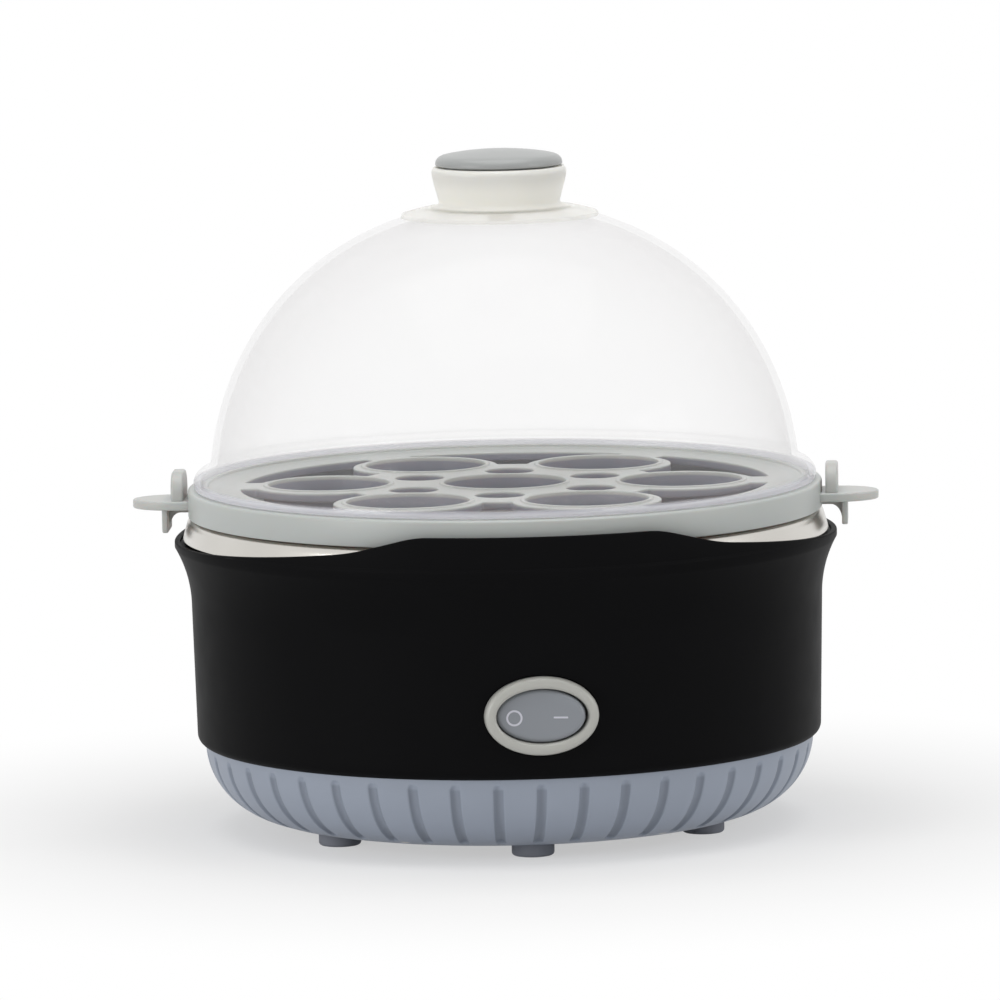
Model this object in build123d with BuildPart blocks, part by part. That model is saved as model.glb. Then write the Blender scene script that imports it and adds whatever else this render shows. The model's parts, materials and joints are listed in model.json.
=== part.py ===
"""Electric egg cooker: fluted base, two level body shell, steel bowl, egg tray and clear dome.

Millimetres, +Z up. The origin is on the vertical axis, at the plane of the feet.
The front, with the switch, faces -Y, and the cord inlet faces +Y.
"""
import os
from math import acos, asin, cos, degrees, radians, sin, sqrt

from build123d import *

os.makedirs("parts", exist_ok=True)

# Overall sizes
base_bottom = 3.5  # underside of the base above the table
base_h = 20.8
base_r = 83.2  # base radius at the joint
body_step = 2.2  # how far the body stands out over the base
waist_step = 0.8
waist_h = 37.7  # from the joint up to where the flare starts
lip_step = 4.3  # how far the flared lip stands out over the waist
flare_h = 16.5
rim_h = 11.3  # raised front and rear rims above the flare
tray_h = 8.9
dome_rise = 75.1  # from the dome's lower edge to its top
knob_h = 14.4  # above the dome

# Walls
base_wall = 2.4
body_wall = 2.4
bowl_wall = 0.8
tray_wall = 1.8
dome_wall = 1.8

# Clearances
lift_gap = 0.3  # between parts that lift off each other
slip = 0.1  # beside a stud, stem or screw in its hole
rocker_gap = 0.5  # around the rocker in its opening
pin_gap = 0.05  # around a pivot pin
tip_gap = 0.4  # beyond the tip of a screw in a blind hole

# Fasteners
screw_r = 1.5
screw_head_r = 3.0
screw_head_h = 2.0
head_taper = 12  # degrees
nut_across = 7.0
nut_h = 3.2
stud_r = 2.0
nut_stand = 1.5  # how far a stud or screw stands out of what holds it

# Heights of the shells
base_top = base_bottom + base_h
floor_z = base_bottom + base_wall
waist_z = base_top + waist_h
lip_z = waist_z + flare_h
rim_top = lip_z + rim_h
ledge_z = lip_z + 0.9
ring_top = ledge_z + 4.2  # seat of the bowl's silicone ring
gasket_h = 1.8
roll_under_z = ring_top + gasket_h
bowl_top = roll_under_z + bowl_wall
bowl_depth = 25.4
bowl_floor_z = roll_under_z - bowl_depth
tray_skirt_bottom = bowl_top + lift_gap
tray_top = tray_skirt_bottom + tray_h
dome_bottom = tray_top + lift_gap
dome_top = dome_bottom + dome_rise
knob_top = dome_top + knob_h

# Radii of the shells
body_bottom_r = base_r - lift_gap
body_r = base_r + body_step
waist_r = body_r + waist_step
lip_r = waist_r + lip_step
rim_in_r = lip_r - 1.7
rim_out_r = lip_r - 0.4
skirt_r = rim_in_r - 1.4  # lower edge of the bowl's flared rim
roll_r = skirt_r - 1.4
bowl_wall_r = skirt_r - 7.0
tray_r = skirt_r - 0.8
dome_flange_r = tray_r - 1.6
dome_r = dome_flange_r - 4.2
dome_centre_z = dome_top - dome_r

# Shared places
foot_count = 6
foot_start_angle = 30
foot_circle_r = base_r - 26.0
foot_r = 5.75
foot_stem_r = 2.2
pillar_circle_r = base_r - 16.0
pillar_angles = (-120, -60, 60, 120)
pillar_r = 4.2
pillar_foot = floor_z + 6.1  # where the body's pillars stand on the base's bosses
pillar_bore = 12.0
inlet_z = base_top + 9.7  # height of the cord inlet
cord_r = 3.2
switch_z = base_top + 17.4
bar_top = bowl_floor_z - 24.0  # upper face of the mounting bar
bar_screw_x = body_r - 12.2


def pillar_spots():
    """The four screw axes that tie the base to the body."""
    return [
        (pillar_circle_r * cos(radians(a)), pillar_circle_r * sin(radians(a)))
        for a in pillar_angles
    ]


# Base cover: an elliptical corner, with flutes cut along it
corner_w = 22.0
base_flat_r = base_r - corner_w
flute_count = 45
flute_r = 1.6
flute_depth = 0.95
flute_low_angle = 289
flute_high_angle = 352
joint_lip_r = base_r - base_wall - slip
joint_lip_t = 1.4
joint_lip_h = 2.2
root_sink = 0.6  # how far a post starts inside the floor
head_seat_z = base_bottom + 3.5
cord_post_x = 9.0
cord_post_y = base_r - 17.0
cord_post_r = 3.8
saddle_t = 4.0
cord_screw_depth = 12.0
block_l = 27.0
block_w = 13.0
block_h = 11.0
block_y = base_r - 40.0
block_fence_h = 4.0
block_fence_t = 1.6

with BuildPart() as flute_cutter:
    with BuildLine(Plane.XZ) as flute_path:
        EllipticalCenterArc(
            (base_flat_r, base_top),
            corner_w + flute_r - flute_depth,
            base_h + flute_r - flute_depth,
            start_angle=flute_low_angle,
            arc_size=flute_high_angle - flute_low_angle,
        )
    with BuildSketch(Plane(origin=flute_path.line @ 0, z_dir=flute_path.line % 0)):
        Circle(flute_r)
    sweep()
    with Locations(flute_path.line @ 0, flute_path.line @ 1):
        Sphere(flute_r)

with BuildPart() as base_cover:
    with BuildSketch(Plane.XZ):
        with BuildLine():
            Line((0, base_bottom), (base_flat_r, base_bottom))
            EllipticalCenterArc(
                (base_flat_r, base_top), corner_w, base_h, start_angle=270, arc_size=90
            )
            Line((base_r, base_top), (base_r - base_wall, base_top))
            EllipticalCenterArc(
                (base_flat_r, base_top),
                corner_w - base_wall,
                base_h - base_wall,
                start_angle=270,
                arc_size=90,
            )
            Line((base_flat_r, floor_z), (0, floor_z))
            Line((0, floor_z), (0, base_bottom))
        make_face()
    revolve(axis=Axis.Z)
    with BuildSketch(Plane.XY.offset(base_top - joint_lip_h)):
        Circle(base_r - base_wall / 2)
        Circle(joint_lip_r - joint_lip_t, mode=Mode.SUBTRACT)
    extrude(amount=joint_lip_h)
    with BuildSketch(Plane.XY.offset(base_top)):
        Circle(joint_lip_r)
        Circle(joint_lip_r - joint_lip_t, mode=Mode.SUBTRACT)
    extrude(amount=joint_lip_h)
    with BuildSketch(Plane.XY.offset(floor_z - root_sink)):
        with Locations(*pillar_spots()):
            Circle(pillar_r)
    extrude(amount=pillar_foot - floor_z + root_sink)
    with BuildSketch(Plane.XY.offset(floor_z - root_sink)):
        with Locations((-cord_post_x, cord_post_y), (cord_post_x, cord_post_y)):
            Circle(cord_post_r)
        with Locations((0, cord_post_y)):
            Rectangle(2 * cord_post_x, saddle_t)
    extrude(amount=inlet_z - floor_z + root_sink)
    with BuildSketch(Plane.XZ.offset(-cord_post_y)):
        with Locations((0, inlet_z)):
            Circle(cord_r)
    extrude(amount=2 * cord_post_r, both=True, mode=Mode.SUBTRACT)
    with BuildSketch(Plane.XY.offset(floor_z - root_sink)):
        with Locations((0, block_y)):
            Rectangle(block_l + 2 * slip + 2 * block_fence_t, block_w + 2 * slip + 2 * block_fence_t)
            Rectangle(block_l + 2 * slip, block_w + 2 * slip, mode=Mode.SUBTRACT)
    extrude(amount=block_fence_h + root_sink)
    with BuildSketch(Plane.XY.offset(base_bottom - base_wall)):
        with Locations(*pillar_spots()):
            Circle(screw_head_r + lift_gap)
    extrude(amount=head_seat_z - base_bottom + base_wall, mode=Mode.SUBTRACT)
    with BuildSketch(Plane.XY):
        with Locations(*pillar_spots()):
            Circle(screw_r + slip)
    extrude(amount=base_top, mode=Mode.SUBTRACT)
    with BuildSketch(Plane.XY.offset(inlet_z - cord_screw_depth)):
        with Locations((-cord_post_x, cord_post_y), (cord_post_x, cord_post_y)):
            Circle(screw_r + slip)
    extrude(amount=2 * cord_screw_depth, mode=Mode.SUBTRACT)
    with BuildSketch(Plane.XY.offset(base_bottom - base_wall)):
        with PolarLocations(foot_circle_r, foot_count, start_angle=foot_start_angle):
            Circle(foot_stem_r + slip)
        with Locations((0, block_y)):
            Circle(screw_r + slip)
    extrude(amount=2 * base_wall + base_bottom, mode=Mode.SUBTRACT)
    with PolarLocations(0, flute_count, start_angle=-90):
        add(flute_cutter.part, mode=Mode.SUBTRACT)
base_cover.part.label = "base_cover"
export_step(base_cover.part, "parts/base_cover.step")

# Rubber feet, pushed into the base by their stems
foot_round = 0.9
stem_head_r = 3.0
stem_head_h = 1.2
for number in range(foot_count):
    foot_angle = radians(foot_start_angle + number * 360 / foot_count)
    foot_x = foot_circle_r * cos(foot_angle)
    foot_y = foot_circle_r * sin(foot_angle)
    with BuildPart() as foot:
        with BuildSketch(Plane((foot_x, foot_y, 0))):
            Circle(foot_r)
        extrude(amount=base_bottom)
        fillet(foot.edges().group_by(Axis.Z)[0], foot_round)
        with BuildSketch(Plane((foot_x, foot_y, base_bottom))):
            Circle(foot_stem_r)
        extrude(amount=base_wall + lift_gap)
        with BuildSketch(Plane((foot_x, foot_y, floor_z + lift_gap))):
            Circle(stem_head_r)
        extrude(amount=stem_head_h, taper=head_taper)
    foot.part.label = f"foot_{number + 1}"
    export_step(foot.part, f"parts/foot_{number + 1}.step")

# Outer body: one revolved wall with a lip, a ledge and an inner ring for the bowl
ledge_t = 2.4
crease_z = lip_z + 2.3
ring_in_r = bowl_wall_r + 0.8
ring_out_r = ring_in_r + 2.2
ring_bottom = ledge_z - 7.4
flare_r = ((lip_r - waist_r) ** 2 + (lip_z - waist_z) ** 2) / (2 * (lip_r - waist_r))
flare_centre_r = waist_r + flare_r
flare_in_r = flare_r + body_wall
under_ledge_r = flare_centre_r - sqrt(flare_in_r**2 - (ledge_z - ledge_t - waist_z) ** 2)
flange_t = joint_lip_h + lift_gap
plateau_x = 33.0  # half width of the raised rim
ramp_x = 50.0  # where the ramp beside it ends
ramp_z = rim_top - 4.8
side_rim_z = ledge_z + 0.5
rim_round = 6.0
cut_in_r = rim_in_r - 2.8
pillar_top = base_top + 15.7
rib_t = 2.4
rib_low = base_top + 3.7
bar_post_w = 12.0
bar_post_in_x = bar_screw_x - 5.5
bar_post_h = 9.0
bar_screw_depth = 7.0

# Switch places, measured outwards from the rocker's upright pivot
pivot_r = body_r - 1.2
bezel_seat = 0.2
bezel_front = 4.0
rocker_w = 24.6
rocker_h = 14.7
case_side = 0.8  # wall of the case at its ends
case_above = 1.35  # wall of the case above and below
bezel_side = 1.9  # how far the bezel stands out over the case
bezel_above = 1.6
case_w = rocker_w + 2 * rocker_gap + 2 * case_side
case_h = rocker_h + 2 * rocker_gap + 2 * case_above
bezel_w = case_w + 2 * bezel_side
bezel_h = case_h + 2 * bezel_above
switch_plane = Plane(origin=(0, -pivot_r, switch_z), x_dir=(1, 0, 0), z_dir=(0, -1, 0))

# Cord inlet places, along +Y
bush_flange_r = 7.5
bush_barrel_r = 5.0
bush_seat_y = body_r - 0.6
inlet_plane = Plane(origin=(0, bush_seat_y, inlet_z), x_dir=(-1, 0, 0), z_dir=(0, 1, 0))

with BuildPart() as rim_cutter:
    with BuildSketch(Plane.XZ):
        with BuildLine():
            Polyline(
                (-2 * lip_r, side_rim_z),
                (-lip_r, side_rim_z),
                (-ramp_x, ramp_z),
                (-plateau_x, rim_top),
                (plateau_x, rim_top),
                (ramp_x, ramp_z),
                (lip_r, side_rim_z),
                (2 * lip_r, side_rim_z),
                (2 * lip_r, 2 * rim_top),
                (-2 * lip_r, 2 * rim_top),
                close=True,
            )
        make_face()
        fillet(vertices().filter_by_position(Axis.Y, ramp_z - 1, rim_top + 1), rim_round)
    extrude(amount=2 * lip_r, both=True)
    Cylinder(cut_in_r, 4 * rim_top, mode=Mode.SUBTRACT)

with BuildPart() as outer_body:
    with BuildSketch(Plane.XZ):
        with BuildLine():
            RadiusArc(
                (body_bottom_r, base_top),
                (body_r, base_top + body_r - body_bottom_r),
                -(body_r - body_bottom_r),
            )
            Line((body_r, base_top + body_r - body_bottom_r), (waist_r, waist_z))
            TangentArc((waist_r, waist_z), (lip_r, lip_z), tangent=(0, 1))
            Polyline(
                (lip_r, lip_z),
                (lip_r, crease_z),
                (rim_out_r, crease_z + lip_r - rim_out_r),
                (rim_out_r, rim_top),
                (rim_in_r, rim_top),
                (rim_in_r, ledge_z),
                (ring_out_r, ledge_z),
                (ring_out_r, ring_top),
                (ring_in_r, ring_top),
                (ring_in_r, ring_bottom),
                (ring_out_r, ring_bottom),
                (ring_out_r, ledge_z - ledge_t),
                (under_ledge_r, ledge_z - ledge_t),
            )
            TangentArc((waist_r - body_wall, waist_z), (under_ledge_r, ledge_z - ledge_t), tangent=(0, 1))
            Polyline(
                (waist_r - body_wall, waist_z),
                (body_r - body_wall, base_top + flange_t + body_wall),
                (body_r - body_wall, base_top + flange_t),
                (joint_lip_r + slip, base_top + flange_t),
                (joint_lip_r + slip, base_top),
                (body_bottom_r, base_top),
            )
        make_face()
    revolve(axis=Axis.Z)
    add(rim_cutter.part, mode=Mode.SUBTRACT)
    with BuildSketch(Plane.XY.offset(pillar_foot)):
        with Locations(*pillar_spots()):
            Circle(pillar_r)
    extrude(amount=pillar_top - pillar_foot)
    with BuildSketch(Plane.XY.offset(rib_low)):
        for angle in pillar_angles:
            with PolarLocations((pillar_circle_r + body_r - body_wall / 2) / 2, 1, start_angle=angle):
                Rectangle(body_r - body_wall / 2 - pillar_circle_r, rib_t)
    extrude(amount=pillar_top - rib_low)
    with BuildSketch(Plane.XY.offset(bar_top)):
        for side in (-1, 1):
            with Locations((side * (bar_post_in_x + body_r - body_wall / 2) / 2, 0)):
                Rectangle(body_r - body_wall / 2 - bar_post_in_x, bar_post_w)
    extrude(amount=bar_post_h)
    with BuildSketch(Plane.XY.offset(pillar_foot)):
        with Locations(*pillar_spots()):
            Circle(screw_r + slip)
    extrude(amount=pillar_bore, mode=Mode.SUBTRACT)
    with BuildSketch(Plane.XY.offset(bar_top)):
        with Locations((-bar_screw_x, 0), (bar_screw_x, 0)):
            Circle(screw_r + slip)
    extrude(amount=bar_screw_depth, mode=Mode.SUBTRACT)
    with BuildSketch(switch_plane.offset(bezel_seat)):
        Ellipse(bezel_w / 2 + slip, bezel_h / 2 + slip)
    extrude(amount=bezel_front, mode=Mode.SUBTRACT)
    with BuildSketch(switch_plane):
        Ellipse(case_w / 2 + slip, case_h / 2 + slip)
    extrude(amount=2 * body_wall, both=True, mode=Mode.SUBTRACT)
    with BuildSketch(inlet_plane):
        Circle(bush_flange_r + slip)
    extrude(amount=2 * body_wall, mode=Mode.SUBTRACT)
    with BuildSketch(inlet_plane):
        Circle(bush_barrel_r + slip)
    extrude(amount=2 * body_wall, both=True, mode=Mode.SUBTRACT)
outer_body.part.label = "outer_body"
export_step(outer_body.part, "parts/outer_body.step")

# Steel bowl: one drawn sheet with a rolled and flared rim
bowl_corner_r = 8.0
bowl_draft = 1.6  # how much narrower the wall is at the floor
skirt_bottom = roll_under_z - 5.1
roll_bend = 1.2

with BuildPart() as steel_bowl:
    with BuildSketch(Plane.XZ):
        with BuildLine():
            FilletPolyline(
                (0, bowl_floor_z),
                (bowl_wall_r - bowl_draft, bowl_floor_z),
                (bowl_wall_r, roll_under_z),
                (roll_r, roll_under_z),
                (skirt_r, skirt_bottom),
                radius=[bowl_corner_r, roll_bend, roll_bend],
            )
            offset(amount=bowl_wall, side=Side.LEFT)
        make_face()
    revolve(axis=Axis.Z)
steel_bowl.part.label = "steel_bowl"
export_step(steel_bowl.part, "parts/steel_bowl.step")

# Silicone ring between the body's inner ring and the bowl's rolled rim
gasket_in_r = bowl_wall_r + roll_bend + slip
gasket_lap = 0.7  # over the ring's outer edge
gasket_out_r = ring_out_r + gasket_lap
gasket_round = 0.5

with BuildPart() as bowl_gasket:
    with BuildSketch(Plane.XZ):
        with Locations(((gasket_in_r + gasket_out_r) / 2, (ring_top + roll_under_z) / 2)):
            RectangleRounded(gasket_out_r - gasket_in_r, gasket_h, gasket_round)
    revolve(axis=Axis.Z)
bowl_gasket.part.label = "bowl_gasket"
export_step(bowl_gasket.part, "parts/bowl_gasket.step")

# Heater plate with the element's groove and two stud sockets
plate_r = 45.0
plate_t = 4.0
plate_chamfer = 0.6
element_ring_r = 36.0
element_r = 3.3
element_sink = 1.3  # how far the element's axis lies below the plate's face
stud_x = 25.0
stud_socket = 2.5
thermostat_screw_y = 14.5
thermostat_screw_depth = 2.2
plate_z = bowl_floor_z - plate_t
element_z = plate_z - element_sink

with BuildPart() as heater_plate:
    with BuildSketch(Plane.XY.offset(plate_z)):
        Circle(plate_r)
    extrude(amount=plate_t)
    chamfer(heater_plate.edges().group_by(Axis.Z)[0], plate_chamfer)
    with BuildSketch(Plane.XZ):
        with Locations((element_ring_r, element_z)):
            Circle(element_r + slip)
    revolve(axis=Axis.Z, mode=Mode.SUBTRACT)
    with BuildSketch(Plane.XY.offset(plate_z)):
        with Locations((-stud_x, 0), (stud_x, 0)):
            Circle(stud_r + slip)
    extrude(amount=stud_socket, mode=Mode.SUBTRACT)
    with BuildSketch(Plane.XY.offset(plate_z)):
        with Locations((0, -thermostat_screw_y), (0, thermostat_screw_y)):
            Circle(screw_r + slip)
    extrude(amount=thermostat_screw_depth, mode=Mode.SUBTRACT)
heater_plate.part.label = "heater_plate"
export_step(heater_plate.part, "parts/heater_plate.step")

# Heating element: a ring open at the rear, its ends bent down to two pins
element_gap_angle = 30.0  # half of the ring's opening, in degrees
element_bend_r = 7.0
element_tail = 3.0
pin_r = 1.1
pin_low_z = bar_top + 0.5
bead_r = 3.2
bead_h = 4.5
end_angle = radians(90 - element_gap_angle)
pin_x = element_ring_r * cos(end_angle) - element_bend_r * sin(end_angle)
pin_y = element_ring_r * sin(end_angle) + element_bend_r * cos(end_angle)
tail_z = element_z - element_bend_r - element_tail

with BuildPart() as heating_element:
    with BuildLine() as element_path:
        ring_arc = CenterArc(
            (0, 0, element_z),
            element_ring_r,
            90 + element_gap_angle,
            360 - 2 * element_gap_angle,
        )
        for ring_end, direction in ((ring_arc @ 1, ring_arc % 1), (ring_arc @ 0, -(ring_arc % 0))):
            bend_end = ring_end + direction * element_bend_r - Vector(0, 0, element_bend_r)
            TangentArc(ring_end, bend_end, tangent=direction)
            Line(bend_end, bend_end - Vector(0, 0, element_tail))
    with BuildSketch(Plane(origin=element_path.wire() @ 0, z_dir=element_path.wire() % 0)):
        Circle(element_r)
    sweep(path=element_path.wire())
    with BuildSketch(Plane.XY.offset(pin_low_z)):
        with Locations((-pin_x, pin_y), (pin_x, pin_y)):
            Circle(pin_r)
    extrude(amount=tail_z - pin_low_z)
heating_element.part.label = "heating_element"
export_step(heating_element.part, "parts/heating_element.step")

# Ceramic beads on the element's two pins
with BuildPart() as terminal_beads:
    with BuildSketch(Plane.XY.offset(tail_z - bead_h)):
        with Locations((-pin_x, pin_y), (pin_x, pin_y)):
            Circle(bead_r)
            Circle(pin_r + slip, mode=Mode.SUBTRACT)
    extrude(amount=bead_h)
terminal_beads.part.label = "terminal_beads"
export_step(terminal_beads.part, "parts/terminal_beads.step")

# Clamp ring that presses the element into its groove, open at the rear for its tails
clamp_in_r = 19.0
clamp_out_r = 41.0
clamp_t = 1.5
clamp_z = element_z - element_r - slip - clamp_t
clamp_slot_gap = 1.0  # beside the element's bends
clamp_slot_y = 14.0
clamp_slot_w = 2 * (element_ring_r * cos(end_angle) + clamp_slot_gap)

with BuildPart() as element_clamp:
    with BuildSketch(Plane.XY.offset(clamp_z)):
        Circle(clamp_out_r)
        Circle(clamp_in_r, mode=Mode.SUBTRACT)
        with Locations((0, clamp_slot_y)):
            Rectangle(
                clamp_slot_w, clamp_out_r, align=(Align.CENTER, Align.MIN), mode=Mode.SUBTRACT
            )
        with Locations((-stud_x, 0), (stud_x, 0)):
            Circle(stud_r + slip, mode=Mode.SUBTRACT)
    extrude(amount=clamp_t)
element_clamp.part.label = "element_clamp"
export_step(element_clamp.part, "parts/element_clamp.step")

# Stack on the two studs, from the clamp down to the mounting bar
spacer_r = 3.6
shield_z = bar_top + 4.2
shield_t = 0.8
bar_t = 2.0
bar_z = bar_top - bar_t
nut_z = clamp_z - nut_h
stud_low_z = bar_z - nut_h - nut_stand


def stud_nuts(low):
    """Two hexagon nuts on the studs, with their lower face at a height."""
    with BuildPart() as nuts:
        with BuildSketch(Plane.XY.offset(low)):
            with Locations((-stud_x, 0), (stud_x, 0)):
                RegularPolygon(nut_across / 2, 6, major_radius=False)
                Circle(stud_r + slip, mode=Mode.SUBTRACT)
        extrude(amount=nut_h)
    return nuts


with BuildPart() as heater_studs:
    with BuildSketch(Plane.XY.offset(stud_low_z)):
        with Locations((-stud_x, 0), (stud_x, 0)):
            Circle(stud_r)
    extrude(amount=plate_z + stud_socket - stud_low_z)
heater_studs.part.label = "heater_studs"
export_step(heater_studs.part, "parts/heater_studs.step")

clamp_nuts = stud_nuts(nut_z)
clamp_nuts.part.label = "clamp_nuts"
export_step(clamp_nuts.part, "parts/clamp_nuts.step")

with BuildPart() as shield_spacers:
    for low, high in ((shield_z + shield_t, nut_z), (bar_top, shield_z)):
        with BuildSketch(Plane.XY.offset(low)):
            with Locations((-stud_x, 0), (stud_x, 0)):
                Circle(spacer_r)
                Circle(stud_r + slip, mode=Mode.SUBTRACT)
        extrude(amount=high - low)
shield_spacers.part.label = "shield_spacers"
export_step(shield_spacers.part, "parts/shield_spacers.step")

bar_nuts = stud_nuts(bar_z - nut_h)
bar_nuts.part.label = "bar_nuts"
export_step(bar_nuts.part, "parts/bar_nuts.step")

# Heat shield: a shallow pan with holes for the studs and the element's tails
shield_r = 50.0
shield_rim_h = 6.0
shield_bend_r = 3.0
shield_hole_r = bead_r + 1.0

with BuildPart() as heat_shield:
    with BuildSketch(Plane.XZ):
        with BuildLine():
            FilletPolyline(
                (0, shield_z),
                (shield_r, shield_z),
                (shield_r, shield_z + shield_rim_h),
                radius=shield_bend_r,
            )
            offset(amount=shield_t, side=Side.LEFT)
        make_face()
    revolve(axis=Axis.Z)
    with BuildSketch(Plane.XY.offset(shield_z)):
        with Locations((-stud_x, 0), (stud_x, 0)):
            Circle(stud_r + slip)
        with Locations((-pin_x, pin_y), (pin_x, pin_y)):
            Circle(shield_hole_r)
    extrude(amount=shield_t, mode=Mode.SUBTRACT)
heat_shield.part.label = "heat_shield"
export_step(heat_shield.part, "parts/heat_shield.step")

# Mounting bar: carries the heater stack under the body's two inner posts
bar_w = 11.0
bar_end_x = bar_screw_x + 4.0
earth_x = 48.0

with BuildPart() as mounting_bar:
    with BuildSketch(Plane.XY.offset(bar_z)):
        SlotOverall(2 * bar_end_x, bar_w)
        with Locations((-stud_x, 0), (stud_x, 0)):
            Circle(stud_r + slip, mode=Mode.SUBTRACT)
        with Locations((-bar_screw_x, 0), (bar_screw_x, 0), (earth_x, 0)):
            Circle(screw_r + slip, mode=Mode.SUBTRACT)
    extrude(amount=bar_t)
mounting_bar.part.label = "mounting_bar"
export_step(mounting_bar.part, "parts/mounting_bar.step")


def pan_screws(spots, seat_z, up, length):
    """Pan head screws at spots, seated at a height, pointing up (1) or down (-1)."""
    with BuildPart() as screws:
        with BuildSketch(Plane.XY.offset(seat_z)):
            with Locations(*spots):
                Circle(screw_head_r)
        extrude(amount=-up * screw_head_h, taper=head_taper)
        with BuildSketch(Plane.XY.offset(seat_z)):
            with Locations(*spots):
                Circle(screw_r)
        extrude(amount=up * length)
    return screws


bar_screws = pan_screws(
    [(-bar_screw_x, 0), (bar_screw_x, 0)], bar_z, 1, bar_t + bar_screw_depth - tip_gap
)
bar_screws.part.label = "bar_screws"
export_step(bar_screws.part, "parts/bar_screws.step")

base_screws = pan_screws(
    pillar_spots(), head_seat_z, 1, pillar_foot + pillar_bore - head_seat_z - tip_gap
)
base_screws.part.label = "base_screws"
export_step(base_screws.part, "parts/base_screws.step")

# Earth tab under the mounting bar, with its screw through the bar
earth_t = 0.8
earth_w = 6.3
earth_l = 12.0
earth_drop = 9.0

with BuildPart() as earth_tab:
    with BuildSketch(Plane.XY.offset(bar_z - earth_t)):
        with Locations((earth_x + earth_l / 2 - earth_w / 2, 0)):
            Rectangle(earth_l, earth_w)
        with Locations((earth_x, 0)):
            Circle(screw_r + slip, mode=Mode.SUBTRACT)
    extrude(amount=earth_t)
    with BuildSketch(Plane.XY.offset(bar_z)):
        with Locations((earth_x + earth_l - earth_w / 2 - earth_t / 2, 0)):
            Rectangle(earth_t, earth_w)
    extrude(amount=-earth_drop)
earth_tab.part.label = "earth_tab"
export_step(earth_tab.part, "parts/earth_tab.step")

earth_screw = pan_screws([(earth_x, 0)], bar_z - earth_t, 1, bar_t + earth_t + nut_stand)
earth_screw.part.label = "earth_screw"
export_step(earth_screw.part, "parts/earth_screw.step")

# Thermostat against the plate, held by a strap with two screws
thermostat_r = 9.0
thermostat_h = 8.0
thermostat_flange_r = 10.5
thermostat_flange_h = 1.6
blade_w = 4.8
blade_t = 0.8
blade_h = 4.5
blade_x = 3.6
strap_end_w = 8.0
strap_t = 0.8
strap_hole_r = 7.0
thermostat_z = plate_z - thermostat_h

with BuildPart() as thermostat:
    with BuildSketch(Plane.XY.offset(thermostat_z)):
        Circle(thermostat_r)
    extrude(amount=thermostat_h)
    with BuildSketch(Plane.XY.offset(thermostat_z)):
        Circle(thermostat_flange_r)
    extrude(amount=thermostat_flange_h)
    with BuildSketch(Plane.XY.offset(thermostat_z)):
        with Locations((-blade_x, 0), (blade_x, 0)):
            Rectangle(blade_t, blade_w)
    extrude(amount=-blade_h)
thermostat.part.label = "thermostat"
export_step(thermostat.part, "parts/thermostat.step")

with BuildPart() as thermostat_strap:
    with BuildSketch(Plane.XY.offset(thermostat_z - strap_t)):
        SlotCenterToCenter(2 * thermostat_screw_y, strap_end_w, rotation=90)
        Circle(thermostat_flange_r)
        Circle(strap_hole_r, mode=Mode.SUBTRACT)
        with Locations((0, -thermostat_screw_y), (0, thermostat_screw_y)):
            Circle(screw_r + slip, mode=Mode.SUBTRACT)
    extrude(amount=strap_t)
thermostat_strap.part.label = "thermostat_strap"
export_step(thermostat_strap.part, "parts/thermostat_strap.step")

thermostat_screws = pan_screws(
    [(0, -thermostat_screw_y), (0, thermostat_screw_y)],
    thermostat_z - strap_t,
    1,
    strap_t + thermostat_h + thermostat_screw_depth - tip_gap,
)
thermostat_screws.part.label = "thermostat_screws"
export_step(thermostat_screws.part, "parts/thermostat_screws.step")

# Thermal fuse in its sleeve, held under the clamp ring by a clip
fuse_r = 2.4
fuse_l = 22.0
fuse_lead_r = 0.6
fuse_lead_l = 5.0
fuse_y = -30.0
clip_t = 0.8
clip_w = 7.0
clip_ear = 5.0
fuse_z = clamp_z - slip - fuse_r

with BuildPart() as thermal_fuse:
    with BuildSketch(Plane.YZ.offset(-fuse_l / 2)):
        with Locations((fuse_y, fuse_z)):
            Circle(fuse_r)
    extrude(amount=fuse_l)
    with BuildSketch(Plane.YZ.offset(-fuse_l / 2 - fuse_lead_l)):
        with Locations((fuse_y, fuse_z)):
            Circle(fuse_lead_r)
    extrude(amount=fuse_l + 2 * fuse_lead_l)
thermal_fuse.part.label = "thermal_fuse"
export_step(thermal_fuse.part, "parts/thermal_fuse.step")

with BuildPart() as fuse_clip:
    with BuildSketch(Plane.YZ.offset(-clip_w / 2)):
        with Locations((fuse_y, fuse_z)):
            Circle(fuse_r + slip + clip_t)
            Circle(fuse_r + slip, mode=Mode.SUBTRACT)
        with Locations((fuse_y, clamp_z)):
            Rectangle(4 * fuse_r, 2 * fuse_r, align=(Align.CENTER, Align.MIN), mode=Mode.SUBTRACT)
        with Locations((fuse_y - fuse_r - slip, clamp_z), (fuse_y + fuse_r + slip + clip_ear, clamp_z)):
            Rectangle(clip_ear, clip_t, align=(Align.MAX, Align.MAX))
        with Locations((fuse_y, clamp_z)):
            Rectangle(2 * fuse_r + 2 * slip, clip_t, align=(Align.CENTER, Align.MAX), mode=Mode.SUBTRACT)
    extrude(amount=clip_w)
fuse_clip.part.label = "fuse_clip"
export_step(fuse_clip.part, "parts/fuse_clip.step")

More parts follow.
